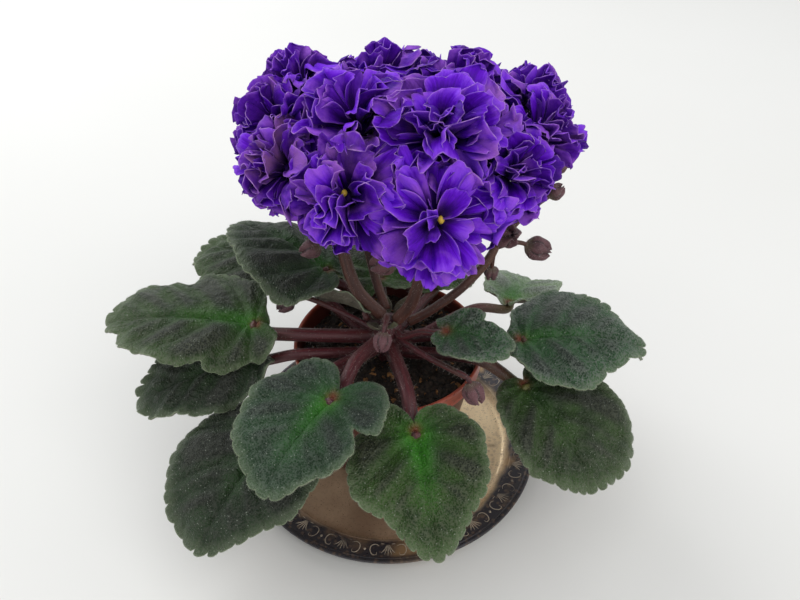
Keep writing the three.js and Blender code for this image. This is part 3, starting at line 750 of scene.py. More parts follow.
@dataclass(frozen=True)
class SaucerFinish:
    """Aged satin metal: a tan well with stains and painted reflection, a dark patinated band, worn bright
    here and there.

    band_edge and rim_edge are the distances from the middle, in metres, where those start and are full.
    """

    well: Colour = (0.68, 0.50, 0.32)
    shade: Colour = (0.36, 0.24, 0.15)
    # bright is the colour of the painted reflection on the well's +X side
    bright: Colour = (0.94, 0.73, 0.45)
    patina: Colour = (0.055, 0.052, 0.058)
    worn: Colour = (0.50, 0.32, 0.15)
    band_edge: tuple[float, float] = (0.0615, 0.0665)
    rim_edge: tuple[float, float] = (0.0715, 0.0745)

    def build(self) -> Material:
        """Lays out the saucer material.

        Returns:
            The material.
        """
        b = Bench("saucer_metal")
        place = b.place()
        radius = b.radius(place)
        clouds, fine = b.noise(place, 28, 5), b.noise(place, 900, 2)
        colour = b.mix(b.ease(clouds, 0.3, 0.7), self.shade, self.well)
        # painted reflection: the well grows brighter towards +X, the side that mirrors the light
        side = b.ease(b.node("ShaderNodeSeparateXYZ", {"Vector": place}).outputs["X"], 0.0, 0.05)
        colour = b.mix(b.times(side, b.ease(clouds, 0.2, 0.6)), colour, self.bright)
        colour = b.mix(b.ease(b.noise(place, 60, 6), 0.6, 0.72, 0.7), colour, self.shade)
        colour = b.mix(b.ease(fine, 0.56, 0.7, 0.25), colour, self.patina)
        uneven = b.times(b.sum(b.noise(place, 45, 4), -0.5), 0.012)
        band = b.ease(b.sum(radius, uneven), *self.band_edge)
        wear = b.ease(b.noise(b.stretched(place, (1, 1, 3)), 40, 5), 0.5, 0.66, 0.8)
        colour = b.mix(band, colour, b.mix(wear, self.patina, self.worn))
        rim = b.ease(radius, *self.rim_edge)
        colour = b.mix(b.times(rim, 0.85), colour, self.patina)
        grime = b.ease(b.cells(place, 420), 0.5, 0.15, 0.3)
        colour = b.mix(grime, colour, self.shade)
        rough = b.sum(b.ease(fine, 0.1, 0.9, 0.3), 0.22)
        return b.done({
            "Base Color": colour, "Metallic": 0.55, "Roughness": rough, "Normal": b.bump(fine, 0.05, 0.5),
        })


@dataclass(frozen=True)
class EngravingFinish:
    """Lines of the saucer's ornament: worn brass, and painted highlight where they catch the light."""

    colour: Colour = (0.50, 0.42, 0.31)
    dull: Colour = (0.09, 0.075, 0.065)

    def build(self) -> Material:
        """Lays out the ornament's material.

        Returns:
            The material.
        """
        b = Bench("saucer_ornament")
        # the bright colour is partly worn brass and partly painted highlight
        colour = b.mix(b.ease(b.noise(b.place(), 60), 0.32, 0.55), self.dull, self.colour)
        return b.done({"Base Color": colour, "Metallic": 0.5, "Roughness": 0.35})


@dataclass(frozen=True)
class PotFinish:
    """Terracotta-coloured satin pot with faint scuffs, specks of soil and painted shade inside.

    rim_inside are the distances from the axis, in metres, between which its colour turns to the painted shade
    inside.
    """

    colour: Colour = (0.34, 0.062, 0.032)
    scuffed: Colour = (0.42, 0.12, 0.075)
    dark: Colour = (0.10, 0.018, 0.012)
    # inside is the colour of the painted shade within the pot
    inside: Colour = (0.055, 0.011, 0.009)
    rim_inside: tuple[float, float] = (0.04365, 0.0434)

    def build(self) -> Material:
        """Lays out the pot's material.

        Returns:
            The material.
        """
        b = Bench("pot")
        place = b.place()
        colour = b.mix(b.ease(b.noise(place, 35, 5), 0.4, 0.8), self.colour, self.scuffed)
        specks = b.ease(b.cells(place, 240), 0.2, 0.06, 0.7)
        colour = b.mix(specks, colour, self.dark)
        streaks = b.noise(b.stretched(place, (1, 1, 6)), 120, 3)
        colour = b.mix(b.ease(streaks, 0.62, 0.8, 0.3), colour, self.dark)
        # painted shade: the inner wall is darkened where little light reaches
        colour = b.mix(b.ease(b.radius(place), *self.rim_inside, 0.9), colour, self.inside)
        return b.done({
            "Base Color": colour, "Roughness": 0.38, "Normal": b.bump(streaks, 0.08, 0.5),
            "Specular IOR Level": 0.5,
        })


@dataclass(frozen=True)
class CrumbFinish:
    """Soil, or what lies in it."""

    name: str
    dark: Colour
    light: Colour
    rough: float = 0.95

    def build(self) -> Material:
        """Lays out the crumb material.

        Returns:
            The material.
        """
        b = Bench(self.name)
        place = b.place()
        clouds = b.noise(place, 500, 4)
        colour = b.mix(b.ease(clouds, 0.35, 0.7), self.dark, self.light)
        return b.done({"Base Color": colour, "Roughness": self.rough, "Normal": b.bump(clouds, 0.6, 0.9)})


@dataclass(frozen=True)
class AntherFinish:
    """Yellow anther with powdery pollen."""

    colour: Colour = (0.75, 0.42, 0.02)
    pollen: Colour = (0.9, 0.65, 0.1)

    def build(self) -> Material:
        """Lays out the anther's material.

        Returns:
            The material.
        """
        b = Bench("anther")
        grains = b.noise(b.place(), 3000)
        colour = b.mix(grains, self.colour, self.pollen)
        return b.done({"Base Color": colour, "Roughness": 0.6, "Normal": b.bump(grains, 0.1)})


class Finishes:
    """The finishes of the whole part, made once."""

    def __init__(self) -> None:
        """Builds them all."""
        self.leaf = {finish.tone: finish.build() for finish in LEAF_FINISHES}
        self.stalk = StalkFinish().build()
        browner = StalkFinish((0.045, 0.015, 0.010), (0.125, 0.045, 0.030), name="flower_stalk")
        self.flower_stalk = browner.build()
        self.petal = PetalFinish().build()
        self.sepal = SepalFinish().build()
        self.leaf_hair = HairFinish("leaf_hair", (0.42, 0.46, 0.35)).build()
        self.stalk_hair = HairFinish("stalk_hair", (0.80, 0.72, 0.66)).build()
        self.saucer = SaucerFinish().build()
        self.engraving = EngravingFinish().build()
        self.pot = PotFinish().build()
        self.soil = CrumbFinish("soil", (0.008, 0.006, 0.004), (0.035, 0.022, 0.014)).build()
        self.bark = CrumbFinish("bark", (0.10, 0.04, 0.012), (0.32, 0.15, 0.045), 0.8).build()
        self.anther = AntherFinish().build()


# ---- what repeats --------------------------------------------------------------------------------


class Tree(Board):
    """A geometry tree while it is laid out, with named inputs."""

    def __init__(self, name: str, inputs: dict[str, str]) -> None:
        """Starts a tree.

        Args:
            name: its name.
            inputs: the kind of socket for each input, besides the geometry and the material.
        """
        self.group = bpy.data.node_groups.new(name, "GeometryNodeTree")
        super().__init__(self.group)
        face = self.group.interface
        face.new_socket("Geometry", in_out="INPUT", socket_type="NodeSocketGeometry")
        self.keys = {}
        for label, kind in (inputs | {"Material": "Material"}).items():
            item = face.new_socket(label, in_out="INPUT", socket_type=f"NodeSocket{kind}")
            self.keys[label] = item.identifier
        face.new_socket("Geometry", in_out="OUTPUT", socket_type="NodeSocketGeometry")
        self.entry = self.nodes.new("NodeGroupInput")

    def given(self, label: str) -> Socket:
        """The value of a named input."""
        return self.entry.outputs[label]

    def scattered(self, density: Socket) -> bpy.types.Node:
        """Points scattered over the mesh that the tree starts from."""
        inputs = {"Mesh": self.given("Geometry"), "Density": density, "Seed": self.given("Seed")}
        return self.node("GeometryNodeDistributePointsOnFaces", inputs, distribute_method="RANDOM")

    def drawn(self, low: object, high: object, seed: Socket | int, kind: str = "FLOAT_VECTOR") -> Socket:
        """Draws a value for each point.

        Args:
            low: the least it may be.
            high: the most it may be.
            seed: the seed of the draws.
            kind: FLOAT_VECTOR or FLOAT.

        Returns:
            The value.
        """
        first, output = (0, 0) if kind == "FLOAT_VECTOR" else (2, 1)
        inputs = {first: low, first + 1: high, "Seed": seed}
        return self.node("FunctionNodeRandomValue", inputs, data_type=kind).outputs[output]

    def vector(self, x: Socket | float, y: Socket | float, z: Socket | float) -> Socket:
        """A vector put together from its parts."""
        return self.node("ShaderNodeCombineXYZ", {"X": x, "Y": y, "Z": z}).outputs[0]

    def end(self, points: Socket, item: Socket, turn: Socket, size: Socket | Triple = (1, 1, 1)) -> None:
        """Ends the tree with copies of an item, as real geometry with its material.

        Args:
            points: where the copies go.
            item: the item.
            turn: how each copy is turned.
            size: the scale of each copy along its axes.
        """
        inputs = {"Points": points, "Instance": item, "Rotation": turn, "Scale": size}
        copies = self.node("GeometryNodeInstanceOnPoints", inputs)
        real = self.node("GeometryNodeRealizeInstances", {"Geometry": copies.outputs[0]})
        inputs = {"Geometry": real.outputs[0], "Material": self.given("Material")}
        dressed = self.node("GeometryNodeSetMaterial", inputs)
        output = self.nodes.new("NodeGroupOutput")
        self.links.new(dressed.outputs[0], output.inputs[0])

    def grow(self, name: str, base: bpy.types.Mesh, values: dict) -> Piece:
        """Runs the tree on a mesh.

        Args:
            name: the new piece's name.
            base: the mesh that the tree starts from.
            values: the named inputs.

        Returns:
            The result as a plain mesh.
        """
        piece = bpy.data.objects.new(name, base)
        bpy.context.scene.collection.objects.link(piece)
        modifier = piece.modifiers.new("grown", "NODES")
        modifier.node_group = self.group
        for label, value in values.items():
            modifier[self.keys[label]] = value
        apply_modifiers(piece)
        piece.data.name = name
        return piece


class HairTree(Tree):
    """Hairs that stand on a surface, as dense as its hairiness says."""

    def __init__(self) -> None:
        """Lays out the tree."""
        super().__init__("hairs", {
            "Density": "Float", "Length": "Float", "Radius": "Float", "Lean": "Float", "Seed": "Int",
        })
        seed = self.given("Seed")
        hairy = self.node("GeometryNodeInputNamedAttribute", {"Name": HAIRINESS}, data_type="FLOAT")
        roots = self.scattered(self.times(hairy.outputs[0], self.given("Density")))
        astray = self.drawn((-1, -1, -1), (1, 1, 1), seed)
        lean = self.node("ShaderNodeVectorMath", {0: astray, "Scale": self.given("Lean")}, operation="SCALE")
        inputs = {0: roots.outputs["Normal"], 1: lean.outputs[0]}
        way = self.node("ShaderNodeVectorMath", inputs, operation="ADD")
        stand = self.node("FunctionNodeAlignRotationToVector", {"Vector": way.outputs[0]}, axis="Z")
        hair = self.node("GeometryNodeMeshCone", {
            "Vertices": 3, "Radius Top": 0.0, "Radius Bottom": self.given("Radius"),
            "Depth": self.given("Length"),
        }, fill_type="NGON")
        size = self.vector(1.0, 1.0, self.drawn(0.5, 1.15, seed, "FLOAT"))
        self.end(roots.outputs["Points"], hair.outputs["Mesh"], stand.outputs[0], size)


class CrumbTree(Tree):
    """Rough crumbs that lie on a surface."""

    def __init__(self) -> None:
        """Lays out the tree."""
        super().__init__("crumbs", {
            "Density": "Float", "Small": "Float", "Large": "Float", "Flatness": "Float", "Seed": "Int",
        })
        seed = self.given("Seed")
        spots = self.scattered(self.given("Density"))
        turn = self.drawn((0, 0, 0), (0.9, 0.9, 6.28), seed)
        crumb = self.node("GeometryNodeMeshIcoSphere", {"Radius": 1.0, "Subdivisions": 1})
        rough = self.drawn((-0.3, -0.3, -0.3), (0.3, 0.3, 0.3), 0)
        lump = self.node("GeometryNodeSetPosition", {"Geometry": crumb.outputs["Mesh"], "Offset": rough})
        size = self.drawn(self.given("Small"), self.given("Large"), seed, "FLOAT")
        scale = self.vector(self.times(size, 1.5), size, self.times(size, self.given("Flatness")))
        self.end(spots.outputs["Points"], lump.outputs[0], turn, scale)


class WreathTree(Tree):
    """One ornament repeated round the Z axis."""

    def __init__(self) -> None:
        """Lays out the tree."""
        super().__init__("wreath", {"Count": "Int"})
        count = self.given("Count")
        spots = self.node("GeometryNodeMeshLine", {"Count": count, "Offset": (0, 0, 0)})
        step = self.node("ShaderNodeMath", {0: 2 * math.pi, 1: count}, operation="DIVIDE")
        index = self.node("GeometryNodeInputIndex")
        turn = self.vector(0.0, 0.0, self.times(index.outputs[0], step.outputs[0]))
        self.end(spots.outputs[0], self.given("Geometry"), turn)


def settled(piece: Piece, nodes: list[str]) -> Piece:
    """Fixes a piece to the body and hides the solids that it stands for.

    Args:
        piece: the finished piece.
        nodes: the solids that it replaces.

    Returns:
        The piece.
    """
    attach(piece, "root")
    if nodes:
        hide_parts(*nodes)
    log.info("%s: %d faces", piece.name, len(piece.data.polygons))
    return piece


# ---- holder --------------------------------------------------------------------------------------


@dataclass
class Saucer:
    """The metal saucer with its engraved band. Sizes in mm, sheet is the metal's thickness.

    band gives radius and height of the engraved band's top.
    """

    foot_radius: float = 57
    groove_radius: float = 64
    rim_radius: float = 77
    rim_top: float = 8
    sheet: float = 2.2
    band: tuple[tuple[float, float], ...] = ((73.4, 7.2), (70, 6.55), (67, 6.05), (65.2, 5.72))
    sides: int = 224
    repeats: int = 20

    def profile(self) -> list[tuple[float, float]]:
        """The saucer's section.

        Returns:
            Radius and height from the middle of the foot round the rim to the middle of the well.
        """
        foot, groove, rim = self.foot_radius, self.groove_radius, self.rim_radius
        top, well = self.rim_top, self.sheet
        return [
            (0, 0), (30, 0), (foot, 0), (58.2, 0.15), (61, 1.2), (groove, 2.6), (70, 4.2), (75.2, 5.6),
            (76.3, 6.1), (76.85, 6.7), (rim, 7.2), (76.7, 7.75), (76.1, top), (75.5, 7.9), (75.2, 7.6),
            (74.9, 7.62), (74.6, 7.75), (74.3, 7.6), (74.1, 7.35), *self.band, (64.9, 5.5), (64.55, 5.42),
            (64.3, 5.5), (64.05, 5.3), (63.7, 5.05), (62.8, 4.3), (61.5, 3.35), (60.2, 2.75), (58.5, 2.35),
            (56, 2.22), (45, well), (30, well), (15, well), (0, well),
        ]

    def band_height(self, radius: float) -> float:
        """Height of the band's top at a radius."""
        radii, heights = zip(*reversed(self.band))
        return float(np.interp(radius, radii, heights))

    def stroke(self, sketch: Sketch, marks: list[tuple[float, float]], width: float) -> None:
        """Adds one engraved stroke.

        Args:
            sketch: the ornament.
            marks: points of the stroke, as radius and as mm along the band.
            width: its greatest width.
        """
        flat = np.array([[r * math.sin(a / r), -r * math.cos(a / r), self.band_height(r)] for r, a in marks])
        path = smooth_path(flat, 4)
        swell = np.sin(np.linspace(0.25, math.pi - 0.25, len(path)))
        points, faces, _, _ = tube(path, width / 2 * swell, 5, 0.5)
        sketch.add(points, faces)

    def ornament(self) -> Sketch:
        """One repeat of the band's ornament.

        Returns:
            A palmette between two scrolls, and a dot.
        """
        sketch = Sketch()
        for lean in (-2.0, -1.0, 0.0, 1.0, 2.0):
            reach = 73.0 - 0.7 * abs(lean)
            self.stroke(sketch, [(66.8, 0.25 * lean), (69.5, 0.85 * lean), (reach, 1.65 * lean)], 0.5)
        for side in (-1.0, 1.0):
            scroll = [
                (67.6, 4.2), (66.7, 5.8), (67.6, 7.8), (70.2, 8.5), (72.6, 7.4), (72.6, 5.6), (71.0, 5.4),
            ]
            self.stroke(sketch, [(r, side * a) for r, a in scroll], 0.55)
            self.stroke(sketch, [(66.4, side * 1.6), (66.2, side * 3.4)], 0.35)
        self.stroke(sketch, [(69.2, 11.0), (69.9, 11.0), (70.6, 11.0)], 1.3)
        return sketch

    def build(self, finishes: Finishes, wreath: WreathTree) -> None:
        """Makes the saucer and its ornament.

        Args:
            finishes: the finishes of the whole part.
            wreath: the tree that repeats the ornament.
        """
        body = Sketch()
        points, faces = turned(self.profile(), self.sides)
        body.add(points, faces)
        settled(body.finish("saucer_body", [finishes.saucer], 35), ["saucer"])
        repeat = self.ornament().finish("ornament_repeat", [finishes.engraving])
        values = {"Count": self.repeats, "Material": finishes.engraving}
        ring = wreath.grow("saucer_ornament", repeat.data, values)
        bpy.data.objects.remove(repeat)
        settled(ring, [])


@dataclass
class Pot:
    """The plain flower pot. Sizes in mm, foot is the height of its floor's underside."""

    rim_radius: float = 45
    rim_top: float = 75
    rim_depth: float = 9
    base_radius: float = 32
    wall: float = 1.5
    foot: float = 2.55
    holes: int = 4
    drain_radius: float = 3.5
    drain_circle: float = 18
    sides: int = 160

    def build(self, finishes: Finishes) -> None:
        """Makes the pot, with its drain holes cut.

        Args:
            finishes: the finishes of the whole part.
        """
        rim, top, low = self.rim_radius, self.rim_top, self.rim_top - self.rim_depth
        base, foot, wall = self.base_radius, self.foot, self.wall
        profile = [
            (0, foot + 0.6), (26, foot + 0.6), (27, foot), (base - 0.5, foot), (base, foot + 0.5), (36.7, 35),
            (42.2, low - 0.3), (42.5, low), (44.2, low), (44.6, low + 0.5), (44.65, low + 1.2),
            (44.45, low + 1.5), (44.6, low + 1.8), (44.85, top - 1.6), (rim, top - 1.2), (rim, top - 0.3),
            (44.75, top), (43.9, top), (43.6, top - 0.3), (43.1, low + wall), (40.7, low - wall), (35, 35),
            (base - wall, foot + wall + 1), (base - wall - 1, foot + wall), (0, foot + wall),
        ]
        body = Sketch()
        points, faces = turned(profile, self.sides)
        body.add(points, faces)
        pot = body.finish("pot_body", [finishes.pot], 40)
        drills = Sketch()
        wide = self.drain_radius
        for i in range(self.holes):
            turn = (i + 0.5) * 2 * math.pi / self.holes
            drill, drill_faces = turned([(0, -3), (wide, -3), (wide, 3), (0, 3)], 24)
            ring = np.array([math.cos(turn), math.sin(turn), 0]) * self.drain_circle
            drills.add(drill + ring + (foot + wall / 2) * UP, drill_faces)
        cutter = drills.finish("drills", [finishes.pot])
        cut = pot.modifiers.new("drain", "BOOLEAN")
        cut.operation, cut.object, cut.solver = "DIFFERENCE", cutter, "EXACT"
        apply_modifiers(pot)
        bpy.data.objects.remove(cutter)
        settled(pot, ["pot"])


@dataclass
class Soil:
    """The potting soil, with crumbs and bits of bark on it. Sizes in mm."""

    top: float = 68
    radius: float = 40.4
    rings: int = 40
    sides: int = 120

    def build(self, finishes: Finishes, crumbs: CrumbTree) -> None:
        """Makes the soil and what lies on it.

        Args:
            finishes: the finishes of the whole part.
            crumbs: the tree that scatters crumbs.
        """
        level = [(self.radius * s, self.top) for s in np.linspace(1, 0, self.rings, endpoint=False)]
        profile = [(0, 4.6), (29, 4.6), (38.4, 61), *level, (0, self.top)]
        points, faces = turned(profile, self.sides)
        upper = points[:, 2] > self.top - 0.1
        bumps = Wobble(9, 3).at(points) * 0.9 + Wobble(4, 4).at(points) * 0.6 + Wobble(2, 5).at(points) * 0.3
        points[:, 2] += np.where(upper, bumps, 0)
        sketch = Sketch()
        sketch.add(points, faces)
        settled(sketch.finish("soil_bed", [finishes.soil]), ["soil"])
        surface = Sketch()
        index = {old: new for new, old in enumerate(np.where(upper)[0].tolist())}
        inner = [face for face in faces if all(i in index for i in face)]
        surface.add(points[upper], [tuple(index[i] for i in face) for face in inner])
        bed = surface.finish("soil_surface", [finishes.soil])
        layers = [
            ("soil_crumbs", 420000, 0.0005, 0.0016, 0.8, 1, finishes.soil),
            ("bark_bits", 52000, 0.0005, 0.0017, 0.45, 2, finishes.bark),
        ]
        for name, density, small, large, flatness, seed, material in layers:
            piece = crumbs.grow(name, bed.data, {
                "Density": float(density), "Small": small, "Large": large, "Flatness": flatness,
                "Seed": seed, "Material": material,
            })
            settled(piece, [])
        bpy.data.objects.remove(bed)


# ---- leaves --------------------------------------------------------------------------------------

CROWN_RADIUS = 7.5  # mm


def rod_grain(path: np.ndarray, run: np.ndarray, around: np.ndarray, radius: float) -> np.ndarray:
    """The grain of a rod, round and along it.

    Args:
        path: the points of its middle.
        run: the share of the way along, for each of its own points.
        around: the angle round it, for each of them.
        radius: about how thick it is.

    Returns:
        The grain of each point.
    """
    reach = np.linalg.norm(np.diff(path, axis=0), axis=1).sum()
    return np.stack([np.cos(around), np.sin(around), run * reach / radius], -1) * radius * MM


@dataclass
class Leaf:
    """One leaf: its blade, from heart to tip, and its stalk from the crown. Sizes in mm, angles in radians.

    lobes is the share of the blade's length that reaches behind its heart, roll how many degrees the blade
    is turned about its length, arch how far its middle rises and lift how far its sides do, and wave and
    phase are for the ripple of its rim. stalk is the stalk's radius, root where it leaves the crown, as
    degrees round it and height, and over a point that it passes. greenness is how green the stalk is near
    the blade, and glow how bright the midrib is.

    outline says how far the blade reaches at even steps round the heart, from behind it by the right-hand
    side, as shares of an even heart shape. dips are notches in it: angle, width and depth, less than nothing
    for a swelling. teeth is the number of teeth round the rim, each of per_tooth points, and point how far
    the tip stands out.
    """

    name: str
    heart: Triple
    tip: Triple
    width: float
    lobes: float
    roll: float
    arch: float
    lift: float
    wave: float
    phase: float
    stalk: float
    root: tuple[float, float]
    over: Triple
    greenness: float = 0.3
    glow: float = 0.5
    outline: tuple[float, ...] = (1,)
    dips: tuple[Triple, ...] = ()
    tone: LeafTone = LeafTone.GREEN
    teeth: int = 32
    point: float = 0.03
    thickness: float = 0.9
    rings: int = 30
    per_tooth: int = 8

    def __post_init__(self) -> None:
        """Works out the blade's axes."""
        self.origin = np.array(self.heart, float)
        axis = np.array(self.tip, float) - self.origin
        self.length = float(np.linalg.norm(axis))
        self.along, across, up = frame_of(axis, UP)
        self.across, self.up = spun(across, self.along, self.roll), spun(up, self.along, self.roll)
        self.seed = sum(ord(c) for c in self.name)

    def reach(self, angle: np.ndarray) -> np.ndarray:
        """How far the blade reaches from its heart.

        Args:
            angle: the directions, from the tip.

        Returns:
            The distance from the heart to the outline in each.
        """
        middle = (1 - self.lobes) / 2 * self.length
        half_length, half_width = self.length - middle, self.width / 2
        c, s = np.cos(angle) / half_length, np.sin(angle) / half_width
        ratio = middle / half_length
        spread = c * c + s * s
        ellipse = (ratio * c + np.sqrt((ratio * c) ** 2 - spread * (ratio**2 - 1))) / spread
        notch = 1 - 0.72 * np.exp(-(((math.pi - np.abs(angle)) / 0.4) ** 2))
        tip = np.exp(-((angle / 0.18) ** 2)) - 0.9 * np.exp(-(((np.abs(angle) - 0.5) / 0.24) ** 2))
        reach = ellipse * notch * (1 + self.point * tip)
        place = (angle + math.pi) / (2 * math.pi) * len(self.outline)
        step = np.floor(place).astype(int)
        here, after = (np.array(self.outline)[(step + i) % len(self.outline)] for i in (0, 1))
        reach = reach * (here + (after - here) * smooth(place - step, 0, 1))
        for at, wide, deep in self.dips:
            reach = reach * (1 - deep * np.exp(-(((angle - at) / wide) ** 2)))
        return reach

    def toothed(self) -> tuple[np.ndarray, np.ndarray]:
        """The toothed rim.

        Returns:
            Angles of points along it, and the distance from the heart at each.
        """
        fine = np.linspace(-math.pi, math.pi, 1441)
        reach = self.reach(fine)
        edge = np.stack([reach * np.cos(fine), reach * np.sin(fine)], -1)
        run = np.concatenate([[0], np.cumsum(np.linalg.norm(np.diff(edge, axis=0), axis=1))])
        rng = np.random.default_rng(self.seed)
        widths = rng.uniform(0.75, 1.25, self.teeth)
        stops = np.concatenate([[0], np.cumsum(widths)]) / widths.sum() * run[-1]
        t = np.tile(np.arange(self.per_tooth) / self.per_tooth, self.teeth)
        tooth = np.repeat(np.arange(self.teeth), self.per_tooth)
        where = stops[tooth] + t * (stops[tooth + 1] - stops[tooth])
        angle = np.interp(where, run, fine)
        depth = rng.uniform(0.35, 1.3, self.teeth)[tooth] * 0.042
        lean = 2 * t ** rng.uniform(0.75, 1.25, self.teeth)[tooth] - 1
        crest = np.sqrt(np.maximum(0, 1 - lean**2)) - 0.62
        calm = smooth(math.pi - np.abs(angle), 0.25, 0.8)
        return angle, self.reach(angle) * (1 + depth * crest * calm)

    def veins(self) -> list[tuple[np.ndarray, float]]:
        """The midrib and side veins in the plane of the blade.

        Returns:
            The points of each, the midrib first, with its strength.
        """
        lines = [(np.array([[0.0, 0.0], [self.length * 0.95, 0.0]]), 1.0)]
        starts = [
            (0.0, 142, 0.8), (0.0, 104, 1.0), (0.03, 68, 1.0), (0.24, 56, 1.0), (0.45, 50, 0.9),
            (0.64, 44, 0.7), (0.82, 38, 0.5),
        ]
        rng = np.random.default_rng(self.seed + 1)
        for side in (-1, 1):
            for start, heading, strength in starts:
                spot = np.array([(start + rng.uniform(-0.02, 0.02)) * self.length, 0.0])
                turn = math.radians(heading + rng.uniform(-5, 5))
                line = [spot]
                for _ in range(40):
                    spot = spot + 2.0 * np.array([math.cos(turn), side * math.sin(turn)])
                    if np.hypot(*spot) > 0.95 * self.reach(np.arctan2(spot[1], spot[0])):
                        break
                    line.append(spot)
                    turn -= 0.022
                if len(line) > 1:
                    lines.append((np.array(line), strength))
        return lines

    def vein_distance(self, flat: np.ndarray) -> tuple[np.ndarray, np.ndarray, np.ndarray]:
        """Where points lie among the veins.

        Args:
            flat: points in the plane of the blade.

        Returns:
            How far each lies from the midrib, how far from any vein, and how strong veins are there.
        """
        away_from, groove = [], np.zeros(len(flat))
        for line, strength in self.veins():
            a, b = line[:-1], line[1:]
            run = b - a
            t = np.clip(((flat[:, None] - a) * run).sum(-1) / (run * run).sum(-1), 0, 1)
            away = np.linalg.norm(flat[:, None] - a - t[..., None] * run, axis=-1)
            away_from.append(away.min(1))
            groove = np.maximum(groove, strength * np.exp(-((away_from[-1] / 1.3) ** 2)))
        return away_from[0], np.min(away_from, axis=0), groove

    def blade(self) -> Sketch:
        """The blade.

        Returns:
            A quilted sheet with sunken veins and a toothed rim.
        """
        angle, edge = self.toothed()
        share = np.linspace(0, 1, self.rings + 1)[1:] ** 0.85
        reach = share[:, None] * edge[None]
        flat = np.stack([reach * np.cos(angle), reach * np.sin(angle)], -1).reshape(-1, 2)
        share = np.repeat(share, len(angle))
        angle = np.tile(angle, self.rings)
        flat, share, angle = np.vstack([flat, [0, 0]]), np.append(share, 0), np.append(angle, 0)
        u, v = flat[:, 0], flat[:, 1]
        run = u / self.length
        bow = np.where(run > 0, 4 * self.arch * run * (1 - run), 1.2 * self.arch * run)
        side = self.lift * (2 * v / self.width) ** 2
        calm = np.minimum(1, 2 * np.abs(np.sin(angle)))
        ripple = self.wave * share**2 * np.sin(3 * angle + self.phase) * calm
        midrib, nearest, groove = self.vein_distance(flat)
        scale = min(1, self.width / 55)
        spread = np.stack([u, v, np.full(len(u), 7.0 * self.seed)], -1)
        pillow = 2.7 * scale * (1 - np.exp(-((nearest / (5.5 * scale)) ** 2))) * (1 - share**6)
        sunken = -scale * (0.8 * groove + 1.3 * np.exp(-((midrib / 2.4) ** 2)) * (1 - share**3))
        uneven = 0.12 * Wobble(5, self.seed).at(spread) + 0.10 * Wobble(2.6, self.seed + 2).at(spread)
        quilt = uneven * (1 - groove)
        flute = 1.5 * scale * share**4 * Wobble(17, self.seed + 5).at(spread)
        curl = -1.1 * scale * share**10 + 0.35 * share**16 * Wobble(5, self.seed + 6).at(spread)
        height = bow + side + ripple + pillow + sunken + quilt + flute + curl
        points = self.origin + u[:, None] * self.along + v[:, None] * self.across + height[:, None] * self.up
        columns = len(angle) // self.rings
        faces = grid_faces(self.rings, columns, True)
        centre = len(points) - 1
        faces += [(centre, c, (c + 1) % columns) for c in range(columns)]
        rim = list(range((self.rings - 1) * columns, self.rings * columns))
        solid, all_faces, under = thickened(points, faces, rim, self.thickness)
        glow = self.glow * (
            np.exp(-((midrib / 4.5) ** 2)) * smooth(run, 0.85, 0.1) * smooth(run, -0.06, 0.02)
            + 0.7 * np.exp(-((np.hypot(u, v) / 8) ** 2))
        )
        red = np.exp(-((np.hypot(u + 1.5, v) / 2.6) ** 2))
        crest = (1 - np.exp(-((nearest / (4.4 * scale)) ** 2))) * (1 - 0.85 * smooth(share, 0.72, 1.0))
        marks = np.stack([crest, np.clip(glow, 0, 1), share, np.zeros(len(u))], -1)
        marks = np.vstack([marks, marks])
        marks[:, 3] = under
        grain = np.vstack([np.stack([u * MM, v * MM, red * MM], -1)] * 2)
        sketch = Sketch()
        sketch.add(solid, all_faces, marks, grain)
        return sketch

    def stalk_sketch(self) -> Sketch:
        """The stalk.

        Returns:
            A bent rod out of the crown, over the pot's rim and up under the heart.
        """
        turn = math.radians(self.root[0])
        out = np.array([math.cos(turn), math.sin(turn), 0])
        root = out * (CROWN_RADIUS + GAP)
        root[2] = self.root[1]
        seat = self.origin - self.up * self.thickness + self.along * 0.6 * self.stalk
        bend = seat - self.up * 1.5 * self.stalk - self.along * self.stalk
        path = smooth_path(np.array([root - out * 1.5, root + out * 2.5, self.over, bend, seat]), 14)
        share = np.linspace(0, 1, len(path))
        radii = self.stalk * (1.12 - 0.22 * share + 0.03 * np.sin(9 * share + self.phase))
        points, faces, run, around = tube(path, radii, 18, 0.92)
        tone = self.greenness * smooth(run, 0.35, 1.0)
        marks = np.stack([run, tone, around / 7, 0 * run], -1)
        sketch = Sketch()
        sketch.add(points, faces, marks, rod_grain(path, run, around, 4))
        return sketch

    def build(self, finishes: Finishes) -> tuple[Piece, Piece]:
        """Makes the leaf.

        Args:
            finishes: the finishes of the whole part.

        Returns:
            Its blade and its stalk.
        """
        blade = self.blade().finish(f"blade_{self.name}", [finishes.leaf[self.tone]])
        blade = settled(blade, [f"leaf_blade_{self.name}"])
        stalk = self.stalk_sketch().finish(f"stalk_{self.name}", [finishes.stalk])
        return blade, settled(stalk, [f"leaf_stalk_{self.name}"])


